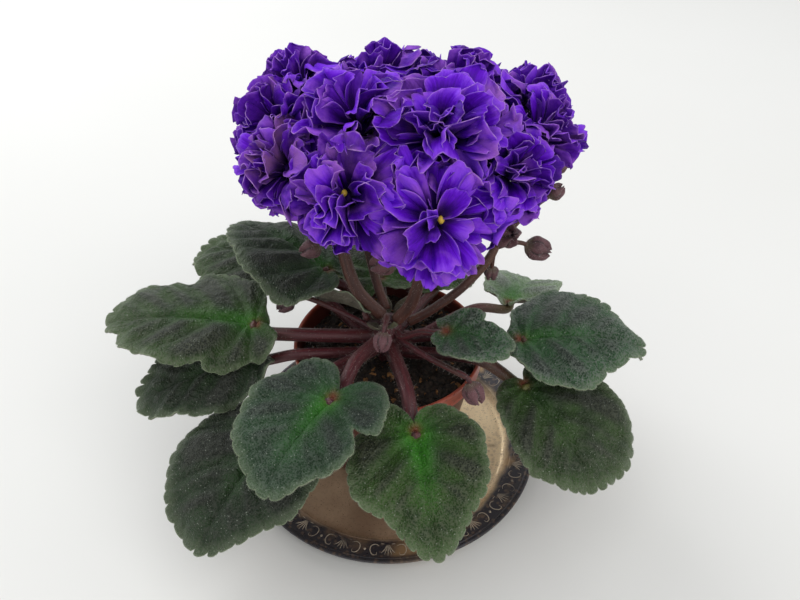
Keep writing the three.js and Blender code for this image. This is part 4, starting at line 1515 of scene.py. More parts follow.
LEAVES = [
    Leaf("left", (-62, -3, 89), (-133, 2, 85), 62, 0.15, -6, 5, -3, 5, 0.4, 3.4, (186, 79), (-42, -5, 83.5),
         0.25, 0.5, (1.1, 0.62, 0.62, 1.05, 1.15, 1.1, 0.97, 0.93, 0.9, 0.93, 1.38, 1.38),
         ((-0.63, 0.12, 0.15), (-0.42, 0.1, -0.05), (0.17, 0.09, 0.08), (0.88, 0.08, 0.15)), LeafTone.GREY,
         point=0.04),
    Leaf("left_low", (-61, -14, 79), (-115, -27, 61), 52, 0.15, -5, 4, -2, 2, 1.5, 2.7, (204, 72),
         (-43, -14, 79.4), 0.2, 0.1, (1, 1, 1, 1, 1, 1.02, 1, 0.88, 0.86, 0.9, 1, 1), tone=LeafTone.DARK),
    Leaf("left_back", (-29, 18, 105), (-78, 46, 112), 60, 0.24, 12, 5, -4, 2, 0.2, 2.6, (128, 84),
         (-17, 15, 93), 0.2, 0.4, (1, 0.85, 0.75, 0.75, 0.77, 0.85, 0.9, 0.93, 1.05, 1.2, 1.05, 0.95),
         tone=LeafTone.DARK),
    Leaf("left_back_low", (-50, 42, 84), (-102, 70, 78), 54, 0.15, 0, 5, -4, 2, 2.1, 2.6, (150, 71),
         (-35, 28, 81), 0.3, 0.2, tone=LeafTone.GREY),
    Leaf("front_left_low", (-47, -50, 70), (-79, -90, 41), 62, 0.2, -3, 5, -3, 2, 2.8, 3, (226, 76),
         (-32, -33, 80.5), 0.3, 0.15, (1, 1, 1.05, 1.1, 1.15, 1.07, 0.97, 0.84, 0.94, 1.08, 1, 1),
         ((-0.55, 0.5, -0.05), (-0.12, 0.12, -0.02), (0.3, 0.2, 0.02)), LeafTone.DARK),
    Leaf("front_left", (-23, -53, 93), (-48, -90, 80), 64, 0.34, 5, 4, 3, 3, 3.6, 3, (244, 84),
         (-14, -28, 89), 0.1, 0.6, (1.2, 1.13, 1.2, 1.1, 0.88, 0.95, 0.96, 0.79, 0.81, 1.04, 1.15, 1.28),
         ((1.19, 0.1, 0.3),), LeafTone.TEAL),
    Leaf("front", (12, -61, 81), (20, -101, 58), 60, 0.3, 2, 5, 3, 2, 4.4, 3.2, (282, 77), (8.5, -40, 83),
         0.1, 1.0, (1.25, 1.22, 1, 1.04, 1, 0.88, 1, 0.89, 0.86, 0.99, 1.02, 0.93), point=0.05),
    Leaf("right_low", (62, -29, 75), (90, -63, 47), 60, 0.14, 4, 5, -3, 2, 5.2, 3, (334, 72), (42, -19, 81),
         1.0, 0.12, (1, 1, 1, 0.9, 0.81, 0.88, 1.02, 1.15, 1.12, 0.99, 1, 1),
         ((0.5, 0.35, -0.12), (-0.1, 0.2, 0.03), (-1.0, 0.3, 0.06)), LeafTone.GREY),
    Leaf("right", (61, -14, 90), (118, -11, 82), 60, 0.14, 2, 5, -3, 3, 0.9, 2.8, (350, 79), (38, -7, 86),
         0.3, 0.35, (1.25, 1, 1.15, 1.12, 0.94, 0.82, 0.98, 0.94, 1.18, 1.12, 0.75, 0.9),
         ((-0.3, 0.2, 0.05),), LeafTone.BLUE),
    Leaf("right_back", (60, 23, 81), (80, 56, 64), 38, 0.15, -6, 5, 3, 2, 1.7, 2.4, (18, 72), (42, 15, 82),
         0.9, 0.5, (1,), ((2.4, 0.6, 0.15),), LeafTone.PALE, 22),
    Leaf("back_right", (24, 37, 82), (32, 84, 75), 42, 0.2, 0, 5, -3, 2, 2.5, 2.4, (50, 78), (17, 25, 77.5),
         0.5, 0.3, teeth=22),
    Leaf("back", (-4, 32, 89), (-6, 88, 87), 48, 0.25, 0, 5, -3, 2, 3.3, 2.4, (96, 76), (-3, 21, 81), 0.4,
         0.3),
    Leaf("back_left", (-25, 48, 79), (-42, 92, 69), 48, 0.15, 0, 5, -3, 2, 4.1, 2.6, (112, 78),
         (-20, 37.5, 79.5), 0.4, 0.3),
    Leaf("young_right", (27, -18, 98), (55, -28, 97), 29, 0.28, 14, 3, 3, 1, 4.9, 1.6, (310, 85),
         (15, -12, 92), 0.2, 0.2, (1.1, 1, 0.92, 1.1, 1.1, 1, 0.95, 0.8, 0.78, 0.8, 0.82, 1.1),
         ((0.5, 0.12, 0.2), (-1.9, 0.15, 0.12)), LeafTone.BLUE, 15),
    Leaf("young_left", (-10, 1, 93), (-35, 12, 90), 17, 0.15, 40, 2, 5, 1, 5.7, 1.5, (163, 84),
         (-10.5, 1.5, 88.5), 0.2, 0.2, tone=LeafTone.BLUE, teeth=14),
]


# ---- blooms and flower stalks --------------------------------------------------------------------

DOME_FOCUS = np.array([8.0, 6.0, 140.0])  # mm, the point that blooms face away from
BLOOM_FOOT = 9.0  # mm from a bloom's centre back to the foot of its tube
BLOOM_SEED = 500


def bloom_axes(center: np.ndarray, turn: float) -> tuple[np.ndarray, np.ndarray, np.ndarray]:
    """The axes of a bloom, which faces away from the middle of the head.

    Args:
        center: the bloom's centre.
        turn: how many degrees it is turned about the way it faces.

    Returns:
        Two axes across it, and the way it faces.
    """
    facing = unit(center - DOME_FOCUS)
    first, _, axis = frame_of(np.array([-facing[1], facing[0], 0.2]), facing)
    first = spun(first, axis, turn)
    return first, np.cross(axis, first), axis


@dataclass(frozen=True)
class PetalRing:
    """One ring of petals in a bloom. Sizes in mm and degrees, reach as a share of the bloom's own.

    spread is half of a petal's fan, root and rise how far out and up its root is, opening the angle from the
    bloom's axis at the root and at the edge, cup how far its sides rise, fold how deep its big waves are,
    frill how deep the fine waves of its edge are, and unrest how far petals may turn and tilt away from even
    places.
    """

    petals: int
    reach: float
    spread: float
    root: float
    rise: float
    opening: tuple[float, float]
    cup: float
    fold: float
    frill: float
    unrest: float


RINGS = [
    PetalRing(8, 1.22, 24, 2.0, -4.0, (90, 114), 0.1, 2.0, 0.5, 8),
    PetalRing(10, 1.36, 19, 2.0, -3.0, (72, 96), 0.1, 2.0, 0.6, 8),
    PetalRing(10, 0.98, 23, 2.2, -0.5, (62, 86), 0.2, 2.6, 0.7, 20),
    PetalRing(9, 0.96, 23, 2.0, 0.5, (44, 68), 0.35, 2.8, 0.7, 26),
    PetalRing(8, 0.90, 23, 1.7, 1.5, (28, 54), 0.45, 2.8, 0.7, 28),
    PetalRing(6, 0.80, 25, 1.2, 2.5, (12, 42), 0.5, 2.6, 0.7, 28),
    PetalRing(4, 0.60, 30, 0.8, 3.0, (0, 30), 0.8, 1.8, 0.5, 26),
]


@dataclass(frozen=True)
class Head:
    """The outside of all the blooms together: a ball round each, run into one. Sizes in mm.

    blend is how far the balls run together, soft how far inside petals start to be pressed back, and top the
    height that no petal passes.
    """

    centers: np.ndarray
    radii: np.ndarray
    blend: float = 3.0
    soft: float = 4.0
    top: float = 207.5

    def pressed(self, points: np.ndarray) -> np.ndarray:
        """Points pressed into the head.

        Args:
            points: the points of a petal.

        Returns:
            The same, with those outside the head or close below its surface moved inwards.
        """
        away = points[:, None] - self.centers
        distance = np.maximum(np.linalg.norm(away, axis=-1), 1e-6)
        limit = self.radii * (1 + 0.07 * Wobble(11, 79).at(points))[:, None]
        weight = np.exp((limit - distance) / self.blend)
        outwards = unit((away * (weight / distance)[..., None]).sum(1))
        over = np.maximum(self.soft - self.blend * np.log(weight.sum(1)), 0)
        points = points - (over - self.soft * np.tanh(over / self.soft))[:, None] * outwards
        over = np.maximum(points[:, 2] - self.top + 2 * self.soft, 0)
        points[:, 2] -= over - 2 * self.soft * np.tanh(over / (2 * self.soft))
        return points


@dataclass
class Bloom:
    """A double ruffled bloom, kept inside the head and to its own side of its neighbours. Sizes in mm.

    reach is how far its petals reach, fading how far its older petals have faded, open_by how many degrees
    wider than usual its inner rings stand, with the innermost ring but one left out where it is above zero,
    and vivid how much brighter than usual it is. across and along are the points of a petal's grid. Petals
    may pass the middle between two blooms by overlap, and are pressed back more and more near that border,
    over the length of margin.
    """

    number: int
    center: np.ndarray
    neighbours: list[np.ndarray]
    head: Head
    reach: float = 22.0
    fading: float = 0.0
    open_by: float = 0.0
    vivid: float = 0.0
    across: int = 25
    along: int = 9
    thickness: float = 0.45
    margin: float = 6.0
    overlap: float = 6.5

    def course(
        self, ring: PetalRing, size: float, phase: float, rng: np.random.Generator,
    ) -> tuple[np.ndarray, np.ndarray, np.ndarray, np.ndarray]:
        """The way that a petal's middle line takes from its root.

        Args:
            ring: the ring it belongs to.
            size: its length.
            phase: where the wave of its opening starts.
            rng: the bloom's own chances.

        Returns:
            Steps along the petal, and for each of them how far out and how far up the line is there, and its
            angle from the bloom's axis.
        """
        tilt = rng.uniform(-1, 1) * ring.unrest
        steps = np.linspace(0, 1.25 * size, 80)
        run = steps / size
        opening = np.radians(
            ring.opening[0] + tilt + (ring.opening[1] - ring.opening[0]) * run**0.9
            + rng.uniform(-14, 14) * np.sin(4 * run + phase) * run + rng.uniform(-25, 50) * run**3
        )
        step = steps[1] - steps[0]
        out = np.concatenate([[0], np.cumsum(np.sin(opening[:-1]) * step)])
        rise = np.concatenate([[0], np.cumsum(np.cos(opening[:-1]) * step)])
        return steps, out, rise, opening

    def petal(self, ring: PetalRing, direction: float, rng: np.random.Generator) -> tuple[np.ndarray, dict]:
        """One petal's middle surface.

        Args:
            ring: the ring it belongs to.
            direction: where it points, in radians round the bloom's axis.
            rng: the bloom's own chances.

        Returns:
            Its points, row by row from root to edge, and the values its finish reads.
        """
        first, second, axis = bloom_axes(self.center, chance(self.number, 90) * 360)
        spread = math.radians(ring.spread * rng.uniform(0.85, 1.2))
        size = ring.reach * self.reach * rng.uniform(0.8, 1.1)
        t = np.sin(np.linspace(-math.pi / 2, math.pi / 2, self.across))
        psi = spread * t
        s = np.linspace(0.06, 1, self.along) ** 0.85
        phases = rng.uniform(0, 2 * math.pi, 9)
        ragged = 0.05 * np.sin(4 * t + phases[0]) + 0.02 * np.sin(13 * t + phases[1])
        ragged = ragged + 0.01 * np.sin(29 * t + phases[2])
        edge = (0.3 + 0.7 * np.maximum(1 - np.abs(t) ** 2.8, 0) ** 0.45) * (1 + ragged)
        reach = size * s[:, None] * edge[None]
        x, y = reach * np.cos(psi), reach * np.sin(psi)
        deep = s[:, None]
        steps, out, rise, opening = self.course(ring, size, phases[5], rng)
        facing = np.interp(x, steps, opening)
        k1, k2, k3 = rng.uniform(2.5, 6.5), rng.uniform(8, 12), rng.uniform(14, 22)
        big, small = rng.uniform(0.5, 1.25), rng.uniform(0.5, 1.3)
        ripple = ring.fold * (
            big * deep**1.5 * np.sin(k1 * t + phases[3]) + 0.35 * small * deep**3 * np.sin(k2 * t + phases[4])
        ) + ring.frill * deep**6 * np.sin(k3 * t + phases[6]) * (0.6 + 0.4 * np.sin(5 * t + phases[7]))
        twist = math.tan(math.radians(rng.uniform(-1.4, 1.4) * ring.unrest))
        away = ring.cup * rng.uniform(-0.6, 2) * y**2 / (0.5 * size) + ripple + twist * y * deep
        radial = math.cos(direction) * first + math.sin(direction) * second
        tangent = np.cross(axis, radial)
        outwards = ring.root + np.interp(x, steps, out) - away * np.cos(facing)
        upwards = ring.rise + rng.uniform(-1, 1) + np.interp(x, steps, rise) + away * np.sin(facing)
        points = (
            self.center + outwards[..., None] * radial + upwards[..., None] * axis + y[..., None] * tangent
        ).reshape(-1, 3)
        ones = np.ones_like(x)
        flank = smooth(np.abs(t), 0.985, 1.0) * smooth(deep, 0.3, 0.6)
        values = {
            "share": np.maximum(deep * ones, flank * ones).ravel(),
            "psi": (psi * ones).ravel(), "deep": (deep * ones).ravel(),
        }
        lean = unit(rng.normal(size=3))
        points = self.center + spun(points - self.center, lean, rng.uniform(-1, 1) * ring.unrest)
        return points, values

    def crowded(self, points: np.ndarray) -> np.ndarray:
        """Points pressed back from the neighbours and from the head's outside.

        Args:
            points: the points of a petal.

        Returns:
            The same, with those between two blooms raised as well.
        """
        _, _, axis = bloom_axes(self.center, 0)
        border = self.overlap + 4 * Wobble(15, 77).at(points)
        for other in self.neighbours:
            gap = other - self.center
            way = gap / np.linalg.norm(gap)
            beyond = (points - (self.center + other) / 2) @ way - border
            over = np.maximum(beyond + self.margin, 0)
            lost = over - self.margin * np.tanh(over / self.margin)
            points = points - lost[:, None] * way + 0.5 * lost[:, None] * axis
        return self.head.pressed(points)

    def build(self, finishes: Finishes) -> None:
        """Makes the bloom: its petals, its tube and its anthers.

        Args:
            finishes: the finishes of the whole part.
        """
        rng = np.random.default_rng(BLOOM_SEED + self.number)
        first, second, axis = bloom_axes(self.center, chance(self.number, 90) * 360)
        sketch = Sketch()
        faces = grid_faces(self.along, self.across)
        rim = sheet_rim(self.along, self.across)
        rings = RINGS
        if self.open_by:
            rings = [
                replace(ring, opening=tuple(a + self.open_by * i / 3 for a in ring.opening))
                for i, ring in enumerate(RINGS) if i != len(RINGS) - 2
            ]
        for layer, ring in enumerate(rings):
            for i in range(ring.petals):
                turn = rng.uniform(-1, 1) * ring.unrest * 0.025
                direction = (i + 0.5 * layer) * 2 * math.pi / ring.petals + turn
                points, values = self.petal(ring, direction, rng)
                thickness = self.thickness * (1 - 0.5 * values["share"] ** 4)
                solid, all_faces, side = thickened(self.crowded(points), faces, rim, thickness)
                # tone: a random brightness for each petal, painted light and shade for petals facing the
                # light or turned from it
                tone = rng.uniform(-0.5, 0.65) + self.vivid
                if rng.random() < 0.4:
                    faded = self.fading * rng.uniform(0.5, 1)
                else:
                    faded = 0.4 * (rng.random() < 0.12)
                same = np.ones(len(solid))
                share, psi, deep = (np.tile(values[key], 2) for key in ("share", "psi", "deep"))
                marks = np.stack([share, side, tone * same, faded * same], -1)
                grain = np.stack([psi, deep, 3.1 * (layer * 7 + i) * same], -1)
                sketch.add(solid, all_faces, marks, grain)
        path = self.center + np.linspace(-BLOOM_FOOT, 2.5, 8)[:, None] * axis
        points, tube_faces, run, _ = tube(path, np.array([1.6, 1.7, 1.8, 2.0, 2.2, 2.4, 2.6, 2.0]), 10)
        marks = np.stack([0.4 * run, 1 + 0 * run, 0 * run, 0.3 + 0 * run], -1)
        sketch.add(points, tube_faces, marks)
        for side in (-1, 1):
            base = self.center + 4.8 * axis + side * 1.7 * first
            path = base + np.linspace(-1.4, 1.4, 5)[:, None] * (second + 0.3 * axis)
            points, tube_faces, _, _ = tube(path, np.array([0.6, 1.15, 1.3, 1.15, 0.6]), 10)
            sketch.add(points, tube_faces, slot=1)
        name = f"bloom_{self.number:02d}"
        piece = sketch.finish(f"{name}_petals", [finishes.petal, finishes.anther])
        settled(piece, [name])


@dataclass
class Bud:
    """A closed bud at the end of its pedicel. Sizes in mm."""

    at: Triple
    size: float
    tone: float = 0.4

    def add_to(self, sketch: Sketch, origin: np.ndarray, slot: int) -> None:
        """Adds the bud, pointing away from a point on its pedicel.

        Args:
            sketch: the flower stalk it belongs to.
            origin: the point on the pedicel.
            slot: the sepals' finish.
        """
        center = np.array(self.at, float)
        axis = unit(center - origin)
        side = UP if abs(axis[2]) < 0.9 else np.array([1.0, 0, 0])
        axis, first, second = frame_of(axis, side)
        rows, columns = 16, 40
        t = np.linspace(0, 1, rows)
        turn = np.arange(columns) * 2 * math.pi / columns
        height = -0.95 + 2.3 * t
        body = np.sin(np.pi * np.clip(t, 0.02, 0.985) ** 0.8) ** 0.75
        lobed = np.abs(np.cos(2.5 * turn)) ** 0.6
        flare = smooth(t, 0.5, 0.85)
        radius = body[:, None] * (0.82 + 0.2 * lobed[None]) + 0.2 * flare[:, None] * lobed[None] ** 5
        tall = 0.9 * height[:, None] + 0.5 * flare[:, None] * (lobed[None] ** 3 - 0.6)
        ring = np.cos(turn)[None, :, None] * first + np.sin(turn)[None, :, None] * second
        points = center + self.size * (radius[..., None] * ring + tall[..., None] * axis)
        # fold is painted shade in the creases between the bud's sepals
        fold = (1 - smooth(lobed, 0.0, 0.55))[None] * smooth(t, 0.1, 0.3)[:, None]
        marks = np.stack([
            np.repeat(t, columns), fold.ravel(), np.full(rows * columns, self.tone),
            np.repeat(0.5 * (1 - smooth(t, 0, 0.3)), columns),
        ], -1)
        sketch.add(points.reshape(-1, 3), barrel_faces(rows, columns), marks, None, slot)


def leaflet(
    root: np.ndarray, tip: np.ndarray, width: float, normal: np.ndarray, bend: float, greenness: float,
) -> tuple[np.ndarray, Faces, np.ndarray]:
    """A small pointed sheet, such as a sepal or bract.

    Args:
        root: where it starts.
        tip: where it ends.
        width: its greatest width.
        normal: the side that its face looks to.
        bend: how far its middle rises towards that side.
        greenness: how green it is.

    Returns:
        Its points, faces and marks.
    """
    along, across, up = frame_of(tip - root, normal)
    length = np.linalg.norm(tip - root)
    rows, columns = 10, 7
    t, s = np.meshgrid(np.linspace(0, 1, rows), np.linspace(-1, 1, columns), indexing="ij")
    half = width / 2 * np.sin(np.pi * np.clip(t, 0.12, 0.985) ** 0.8)
    height = 4 * bend * t * (1 - t) - 0.22 * width * (1 - s**2) * np.sin(np.pi * t)
    points = (
        root + (t * length)[..., None] * along + (s * half)[..., None] * across + height[..., None] * up
    ).reshape(-1, 3)
    faces = grid_faces(rows, columns)
    solid, all_faces, _ = thickened(points, faces, sheet_rim(rows, columns), 0.55)
    share = np.tile(t.ravel(), 2)
    # fold is painted shade along the leaflet's sunken middle
    fold = 0.3 * np.exp(-(np.tile(s.ravel(), 2) * 4) ** 2)
    marks = np.stack([share, fold, 0.4 + 0 * share, greenness + 0 * share], -1)
    return solid, all_faces, marks


@dataclass
class FlowerStalk:
    """A flower stalk with its pedicels, buds, bracts and the calyx behind each bloom. Sizes in mm.

    sizes is the reach of each bloom. fading, open_by and vivid are for blooms, by their place in the list.
    """

    name: str
    radius: float
    path: list[Triple]
    blooms: list[Triple] = field(default_factory=list)
    buds: list[Bud] = field(default_factory=list)
    sizes: tuple[float, ...] = ()
    fading: dict[int, float] = field(default_factory=dict)
    open_by: dict[int, float] = field(default_factory=dict)
    vivid: dict[int, float] = field(default_factory=dict)
    kind: str = "flower_stalk"

    def rod(
        self, sketch: Sketch, points: np.ndarray, start: float, end: float, sides: int, tone: float,
    ) -> None:
        """Adds a tapering rod.

        Args:
            sketch: what it is added to.
            points: the points that it passes.
            start: its radius where it starts.
            end: its radius where it ends.
            sides: the number of points round it.
            tone: how green it is at its end.
        """
        path = smooth_path(points, 9)
        body, faces, run, around = tube(path, np.linspace(start, end, len(path)), sides)
        marks = np.stack([run, tone * smooth(run, 0.2, 1.0), 0 * run, 0 * run], -1)
        sketch.add(body, faces, marks, rod_grain(path, run, around, start))

    def calyx(self, sketch: Sketch, seat: np.ndarray, axis: np.ndarray, seed: int) -> None:
        """Adds five sepals behind a bloom.

        Args:
            sketch: what they are added to.
            seat: the bottom of the bloom.
            axis: the way the bloom faces.
            seed: a number that sets their unevenness.
        """
        first = unit(np.cross(axis, UP + 0.1))
        second = np.cross(axis, first)
        for i in range(5):
            turn = i * 2 * math.pi / 5 + chance(seed, i)
            out = math.cos(turn) * first + math.sin(turn) * second
            root = seat - 1.2 * axis + 0.9 * out
            tip = seat + (5.6 + chance(seed, i + 9)) * axis + (5.2 + 1.6 * chance(seed, i + 5)) * out
            body, faces, marks = leaflet(root, tip, 3.1, -out + 0.6 * axis, -0.7, 0.35)
            sketch.add(body, faces, marks, None, 1)

    def build(self, finishes: Finishes) -> Piece:
        """Makes the stalk with all that it carries.

        Args:
            finishes: the finishes of the whole part.

        Returns:
            The piece.
        """
        sketch = Sketch()
        route = np.array(self.path, float)
        self.rod(sketch, route, 1.08 * self.radius, 0.9 * self.radius, 16, 0.15)
        hub, fork = route[-1], route[-2]
        for number, center in enumerate(self.blooms):
            spot = np.array(center, float)
            _, _, axis = bloom_axes(spot, 0)
            seat = spot - axis * (BLOOM_FOOT + GAP)
            back = seat - 5 * axis
            middle = (hub + back) / 2 - 1.5 * UP
            self.rod(sketch, np.array([hub, middle, back, seat + 0.8 * axis]), 1.35, 1.2, 10, 0.25)
            self.calyx(sketch, seat, axis, number + 5)
        for bud in self.buds:
            end = np.array(bud.at, float)
            if self.blooms:
                middle = (fork * 0.45 + end * 0.55) + 3 * UP
                self.rod(sketch, np.array([fork, middle, end]), 1.15, 0.95, 8, 0.1)
            else:
                middle = hub
                self.rod(sketch, np.array([fork, hub, end]), 0.9 * self.radius, 0.75 * self.radius, 10, 0.1)
            bud.add_to(sketch, middle, 1)
        if self.blooms:
            for i, side in enumerate((-1, 1)):
                out = unit(np.cross(unit(hub - fork), np.array([0.3, -1.0, 0.2]))) * side
                root, tip = hub + out * 1.5, hub + out * 10 + UP * 4
                body, faces, marks = leaflet(root, tip, 4.2, UP, 0.8, 0.7 - 0.2 * i)
                sketch.add(body, faces, marks, None, 1)
        node = f"{self.kind}_{self.name}"
        skin = finishes.flower_stalk if self.kind == "flower_stalk" else finishes.stalk
        piece = sketch.finish(f"{node}_live", [skin, finishes.sepal])
        return settled(piece, [node])


FLOWER_STALKS = [
    FlowerStalk("left", 2.9, [(-3, 0, 91), (-14, 3, 104), (-20, 8, 124), (-22, 10, 136)],
                [(-13, -25, 171), (-11, -1, 187), (-37, -7, 172), (-43, 19, 177)], [Bud((-33, 8, 124), 4.6)],
                (19.5, 24, 18, 17.5), {2: 0.7}),
    FlowerStalk("back", 2.1, [(-1, 4, 91), (-7, 17, 104), (-12, 32, 126), (-12, 36, 136)],
                [(-36, 41, 183), (-3, 38, 185), (-24, 60, 161), (-50, 42, 155)], [], (16.5, 17.5, 20, 17.5),
                {0: 0.35}),
    FlowerStalk("center", 2.8, [(4, -3, 91), (10, -3, 100), (15.5, -1, 122), (16, 0, 136)],
                [(18, -31, 166), (21, -8, 186), (27, 26, 187), (10, 62, 165)],
                [Bud((-1, 5, 118), 5.6, 0.9)], (23, 26, 20.5, 20), {}, {0: 11}, {0: 0.32, 1: 0.05}),
    FlowerStalk("right", 2.1, [(9.5, 1, 86), (18, 2, 91), (35, 5, 105), (48, 12, 121), (48, 16, 134)],
                [(45, -12, 173), (59, 10, 176), (59.5, 37, 178), (43, 59, 162)],
                [Bud((51, 5, 133), 6), Bud((66, 12, 121), 5.6), Bud((48, 15, 105), 3.6),
                 Bud((74, 26, 141), 3.8), Bud((77, 36, 148), 3.2)], (18.5, 17.5, 16, 19)),
]

BUD_STALKS = [
    FlowerStalk("center", 1.4, [(-1.5, -5, 91), (-1, -10, 98), (0, -15, 104), (-1, -20, 103)],
                buds=[Bud((-2, -23.2, 98), 4.1, 0.7)], kind="bud_stalk"),
    FlowerStalk("right", 1.4, [(5, -7.5, 83), (14, -20, 87), (27, -31, 88), (34, -35, 87)],
                buds=[Bud((37, -37.5, 81), 5, 0.9)], kind="bud_stalk"),
    FlowerStalk("left", 1.3, [(-7.1, -3.4, 86), (-20, 2, 90), (-36, 7, 95), (-42, 7, 97)],
                buds=[Bud((-47, 5, 94), 4, 0.2)], kind="bud_stalk"),
]


@dataclass
class Crown:
    """The short stem that the stalks spring from, with tiny new leaves. Sizes in mm."""

    top: float = 90
    foot: float = 44

    def build(self, finishes: Finishes) -> Piece:
        """Makes the crown.

        Args:
            finishes: the finishes of the whole part.

        Returns:
            The piece.
        """
        heights = np.array([self.foot, self.foot + 8, 64, 70, 76, 82, 87, self.top])
        radii = np.array([5.5, 7.3, CROWN_RADIUS, 7.4, CROWN_RADIUS, 7.3, 6.3, 3.2])
        path = np.stack([0 * heights, 0 * heights, heights], -1)
        points, faces, run, around = tube(path, radii, 40)
        flute = 1 + 0.06 * np.cos(5 * around + points[:, 2] / 5) - 0.03
        points[:, :2] *= flute[:, None]
        sketch = Sketch()
        sketch.add(points, faces, np.stack([run, 0 * run, 0 * run, 0 * run], -1))
        young = [
            (45, 13, 95, 7, 0.7), (225, 13, 94.5, 7, 0.7), (100, 11, 95, 6, 0.8), (290, 8, 94, 5, 0.9),
            (160, 9, 94, 5.5, 0.8), (350, 9, 94.5, 6, 0.7), (255, 11, 95, 5, 0.6),
        ]
        for azimuth, reach, height, width, greenness in young:
            turn = math.radians(azimuth)
            out = np.array([math.cos(turn), math.sin(turn), 0])
            root = out * 4 + np.array([0, 0, 87.5])
            tip = out * reach + np.array([0, 0, height])
            body, leaf_faces, marks = leaflet(root, tip, width, UP - 0.5 * out, -0.6, greenness)
            sketch.add(body, leaf_faces, marks, None, 1)
        return settled(sketch.finish("crown_live", [finishes.stalk, finishes.sepal]), ["crown"])


def read(values: bpy.types.bpy_prop_collection, key: str, wide: int) -> np.ndarray:
    """What a mesh holds, as rows of numbers.

    Args:
        values: its vertices, or the values of one of its attributes.
        key: what is read from each of them.
        wide: how many numbers that is.

    Returns:
        One row for each.
    """
    numbers = np.zeros(len(values) * wide, np.float32)
    values.foreach_get(key, numbers)
    return numbers.reshape(-1, wide)


@dataclass
class Pelt:
    """The hairs of a group of pieces. Lengths in mm, density in hairs per square metre.

    lean is how far hairs lean away from upright.
    """

    name: str
    density: float
    length: float
    radius: float
    lean: float
    seed: int
    slot: str

    def hairiness(self, piece: Piece) -> np.ndarray:
        """How hairy a piece is. Leaves are hairiest along the rim and least hairy below.

        Args:
            piece: the piece.

        Returns:
            The hairiness of each of its points.
        """
        if self.slot != "leaf":
            return np.ones(len(piece.data.vertices))
        marks = read(piece.data.attributes[MARKS].data, "color", 4)
        return 0.14 + 5 * smooth(marks[:, 2], 0.985, 1.0) - 0.1 * marks[:, 3]

    def build(self, pieces: list[Piece], tree: HairTree, material: Material) -> None:
        """Grows the hairs on copies of the pieces' meshes, as one piece.

        Args:
            pieces: the pieces that they stand on.
            tree: the tree that grows them.
            material: their finish.
        """
        points, faces, hairiness, start = [], [], [], 0
        for piece in pieces:
            mesh = piece.data
            points.append(read(mesh.vertices, "co", 3))
            faces.extend(tuple(start + i for i in face.vertices) for face in mesh.polygons)
            hairiness.append(self.hairiness(piece))
            start += len(mesh.vertices)
        skin = bpy.data.meshes.new(f"{self.name}_skin")
        skin.from_pydata(np.vstack(points).tolist(), [], faces)
        dense = skin.attributes.new(HAIRINESS, "FLOAT", "POINT")
        dense.data.foreach_set("value", np.concatenate(hairiness).astype(np.float32))
        hairs = tree.grow(self.name, skin, {
            "Density": self.density, "Length": self.length * MM, "Radius": self.radius * MM,
            "Lean": self.lean, "Seed": self.seed, "Material": material,
        })
        mesh = hairs.data
        low, high = (np.array(corner) for corner in CAD_BOX)
        mesh.vertices.foreach_set("co", np.clip(read(mesh.vertices, "co", 3), low, high).ravel())
        mesh.update()
        settled(hairs, [])


# ---- studio --------------------------------------------------------------------------------------


@dataclass
class Studio:
    """Pale floor, soft light and the camera at the photograph's place. Lengths in metres, lens in mm.

    pitch is how many degrees down the camera looks, and aim_height how far above the floor lamps are aimed.
    """

    floor_size: float = 6.0
    camera_place: Triple = (0.0055, -0.2468, 0.3150)
    pitch: float = 41.0
    lens: float = 32.4
    sky: Colour = (0.95, 0.97, 1.0)
    sky_strength: float = 0.785
    aim_height: float = 0.12

    def floor(self) -> None:
        """Makes the floor."""
        b = Bench("pale_floor")
        colour = b.mix(b.noise(b.place(), 3), (0.83, 0.82, 0.79), (0.78, 0.77, 0.73))
        material = b.done({"Base Color": colour, "Roughness": 0.9})
        mesh = bpy.data.meshes.new("floor")
        half = self.floor_size / 2
        corners = [(-half, -half, 0), (half, -half, 0), (half, half, 0), (-half, half, 0)]
        mesh.from_pydata(corners, [], [(0, 1, 2, 3)])
        mesh.materials.append(material)
        piece = bpy.data.objects.new("floor", mesh)
        bpy.context.scene.collection.objects.link(piece)

    def lamp(self, name: str, place: Triple, size: float, power: float, colour: Colour) -> None:
        """Adds a soft square lamp that looks at the plant.

        Args:
            name: its name.
            place: where it stands.
            size: how wide it is.
            power: its power, in watts.
            colour: the colour of its light.
        """
        data = bpy.data.lights.new(name, "AREA")
        data.shape, data.size, data.energy, data.color = "SQUARE", size, power, colour
        lamp = bpy.data.objects.new(name, data)
        lamp.location = place
        aim = np.array([0, 0, self.aim_height]) - np.array(place)
        tilt, turn = math.atan2(math.hypot(aim[0], aim[1]), -aim[2]), math.atan2(aim[1], aim[0])
        lamp.rotation_euler = (tilt, 0, turn - math.pi / 2)
        bpy.context.scene.collection.objects.link(lamp)

    def build(self) -> None:
        """Sets up the floor, the light and the camera."""
        self.floor()
        self.lamp("window", (-0.8, 0.9, 1.2), 1.0, 11.5, (0.96, 0.98, 1.0))
        self.lamp("room", (0.7, -0.8, 1.2), 1.2, 6, (1.0, 0.99, 0.97))
        world = bpy.data.worlds.new("studio")
        bpy.context.scene.world = world
        world.use_nodes = True
        background = world.node_tree.nodes["Background"].inputs
        background["Color"].default_value = (*self.sky, 1)
        background["Strength"].default_value = self.sky_strength
        bpy.context.scene.view_settings.view_transform = "Standard"
        data = bpy.data.cameras.new("camera")
        data.sensor_width, data.lens = 36, self.lens
        data.clip_start = 0.01
        camera = bpy.data.objects.new("camera", data)
        camera.location = self.camera_place
        camera.rotation_euler = (math.radians(90 - self.pitch), 0, 0)
        bpy.context.scene.collection.objects.link(camera)
        bpy.context.scene.camera = camera


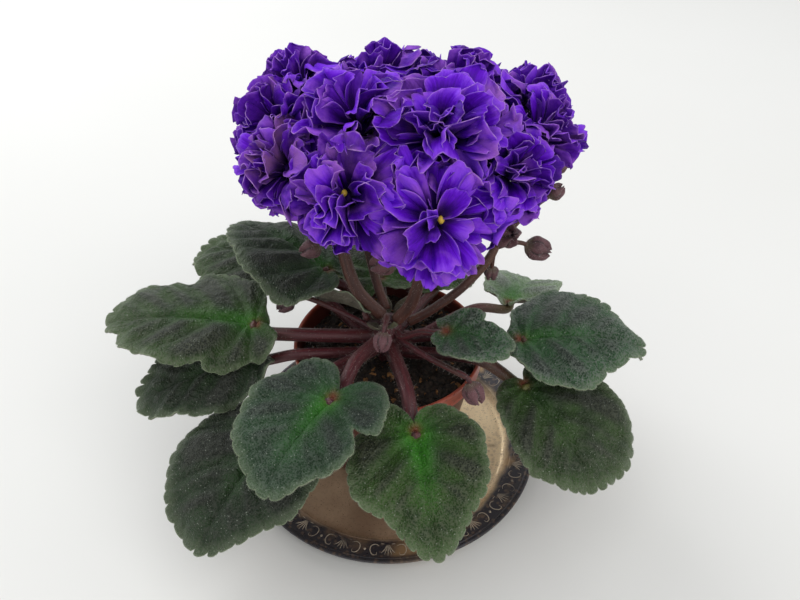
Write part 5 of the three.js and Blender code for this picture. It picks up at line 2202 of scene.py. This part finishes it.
# ---- the whole plant -----------------------------------------------------------------------------

CLOSE = 52.0  # mm between the centres of blooms that press on each other


def bloom_list() -> list[Bloom]:
    """All the blooms.

    Returns:
        The blooms, each with the neighbours that press on it.
    """
    centers = [np.array(center, float) for stalk in FLOWER_STALKS for center in stalk.blooms]
    ages = [
        (stalk.sizes[i], stalk.fading.get(i, 0.0), stalk.open_by.get(i, 0.0), stalk.vivid.get(i, 0.0))
        for stalk in FLOWER_STALKS for i in range(len(stalk.blooms))
    ]
    axes = [bloom_axes(center, 0)[2] for center in centers]
    head = Head(np.array(centers) + 3 * np.array(axes), np.array([size for size, *_ in ages]))
    blooms = []
    for number, (center, (size, *age)) in enumerate(zip(centers, ages), 1):
        near = [other for other in centers if 0 < np.linalg.norm(other - center) < CLOSE]
        blooms.append(Bloom(number, center, near, head, size + 3, *age))
    return blooms


def main() -> None:
    """Builds the holder, the plant and the studio."""
    finishes = Finishes()
    hair_tree, crumb_tree, wreath_tree = HairTree(), CrumbTree(), WreathTree()
    Studio().build()
    Saucer().build(finishes, wreath_tree)
    Pot().build(finishes)
    Soil().build(finishes, crumb_tree)
    blades, stalks = zip(*(leaf.build(finishes) for leaf in LEAVES))
    crown = Crown().build(finishes)
    flower_stalks = [stalk.build(finishes) for stalk in FLOWER_STALKS + BUD_STALKS]
    for bloom in bloom_list():
        bloom.build(finishes)
    for i, group in enumerate((blades[:4], blades[4:7], blades[7:10], blades[10:])):
        pelt = Pelt(f"leaf_hairs_{i + 1}", 1.6e6, 0.8, 0.02, 0.9, 11 + i, "leaf")
        pelt.build(group, hair_tree, finishes.leaf_hair)
    pelt = Pelt("stalk_hairs", 0.24e6, 2.1, 0.022, 0.6, 21, "stalk")
    pelt.build([*stalks, crown], hair_tree, finishes.stalk_hair)
    pelt = Pelt("flower_stalk_hairs", 0.30e6, 1.9, 0.022, 0.6, 22, "stalk")
    pelt.build(flower_stalks, hair_tree, finishes.stalk_hair)


if __name__ == "__main__":
    main()
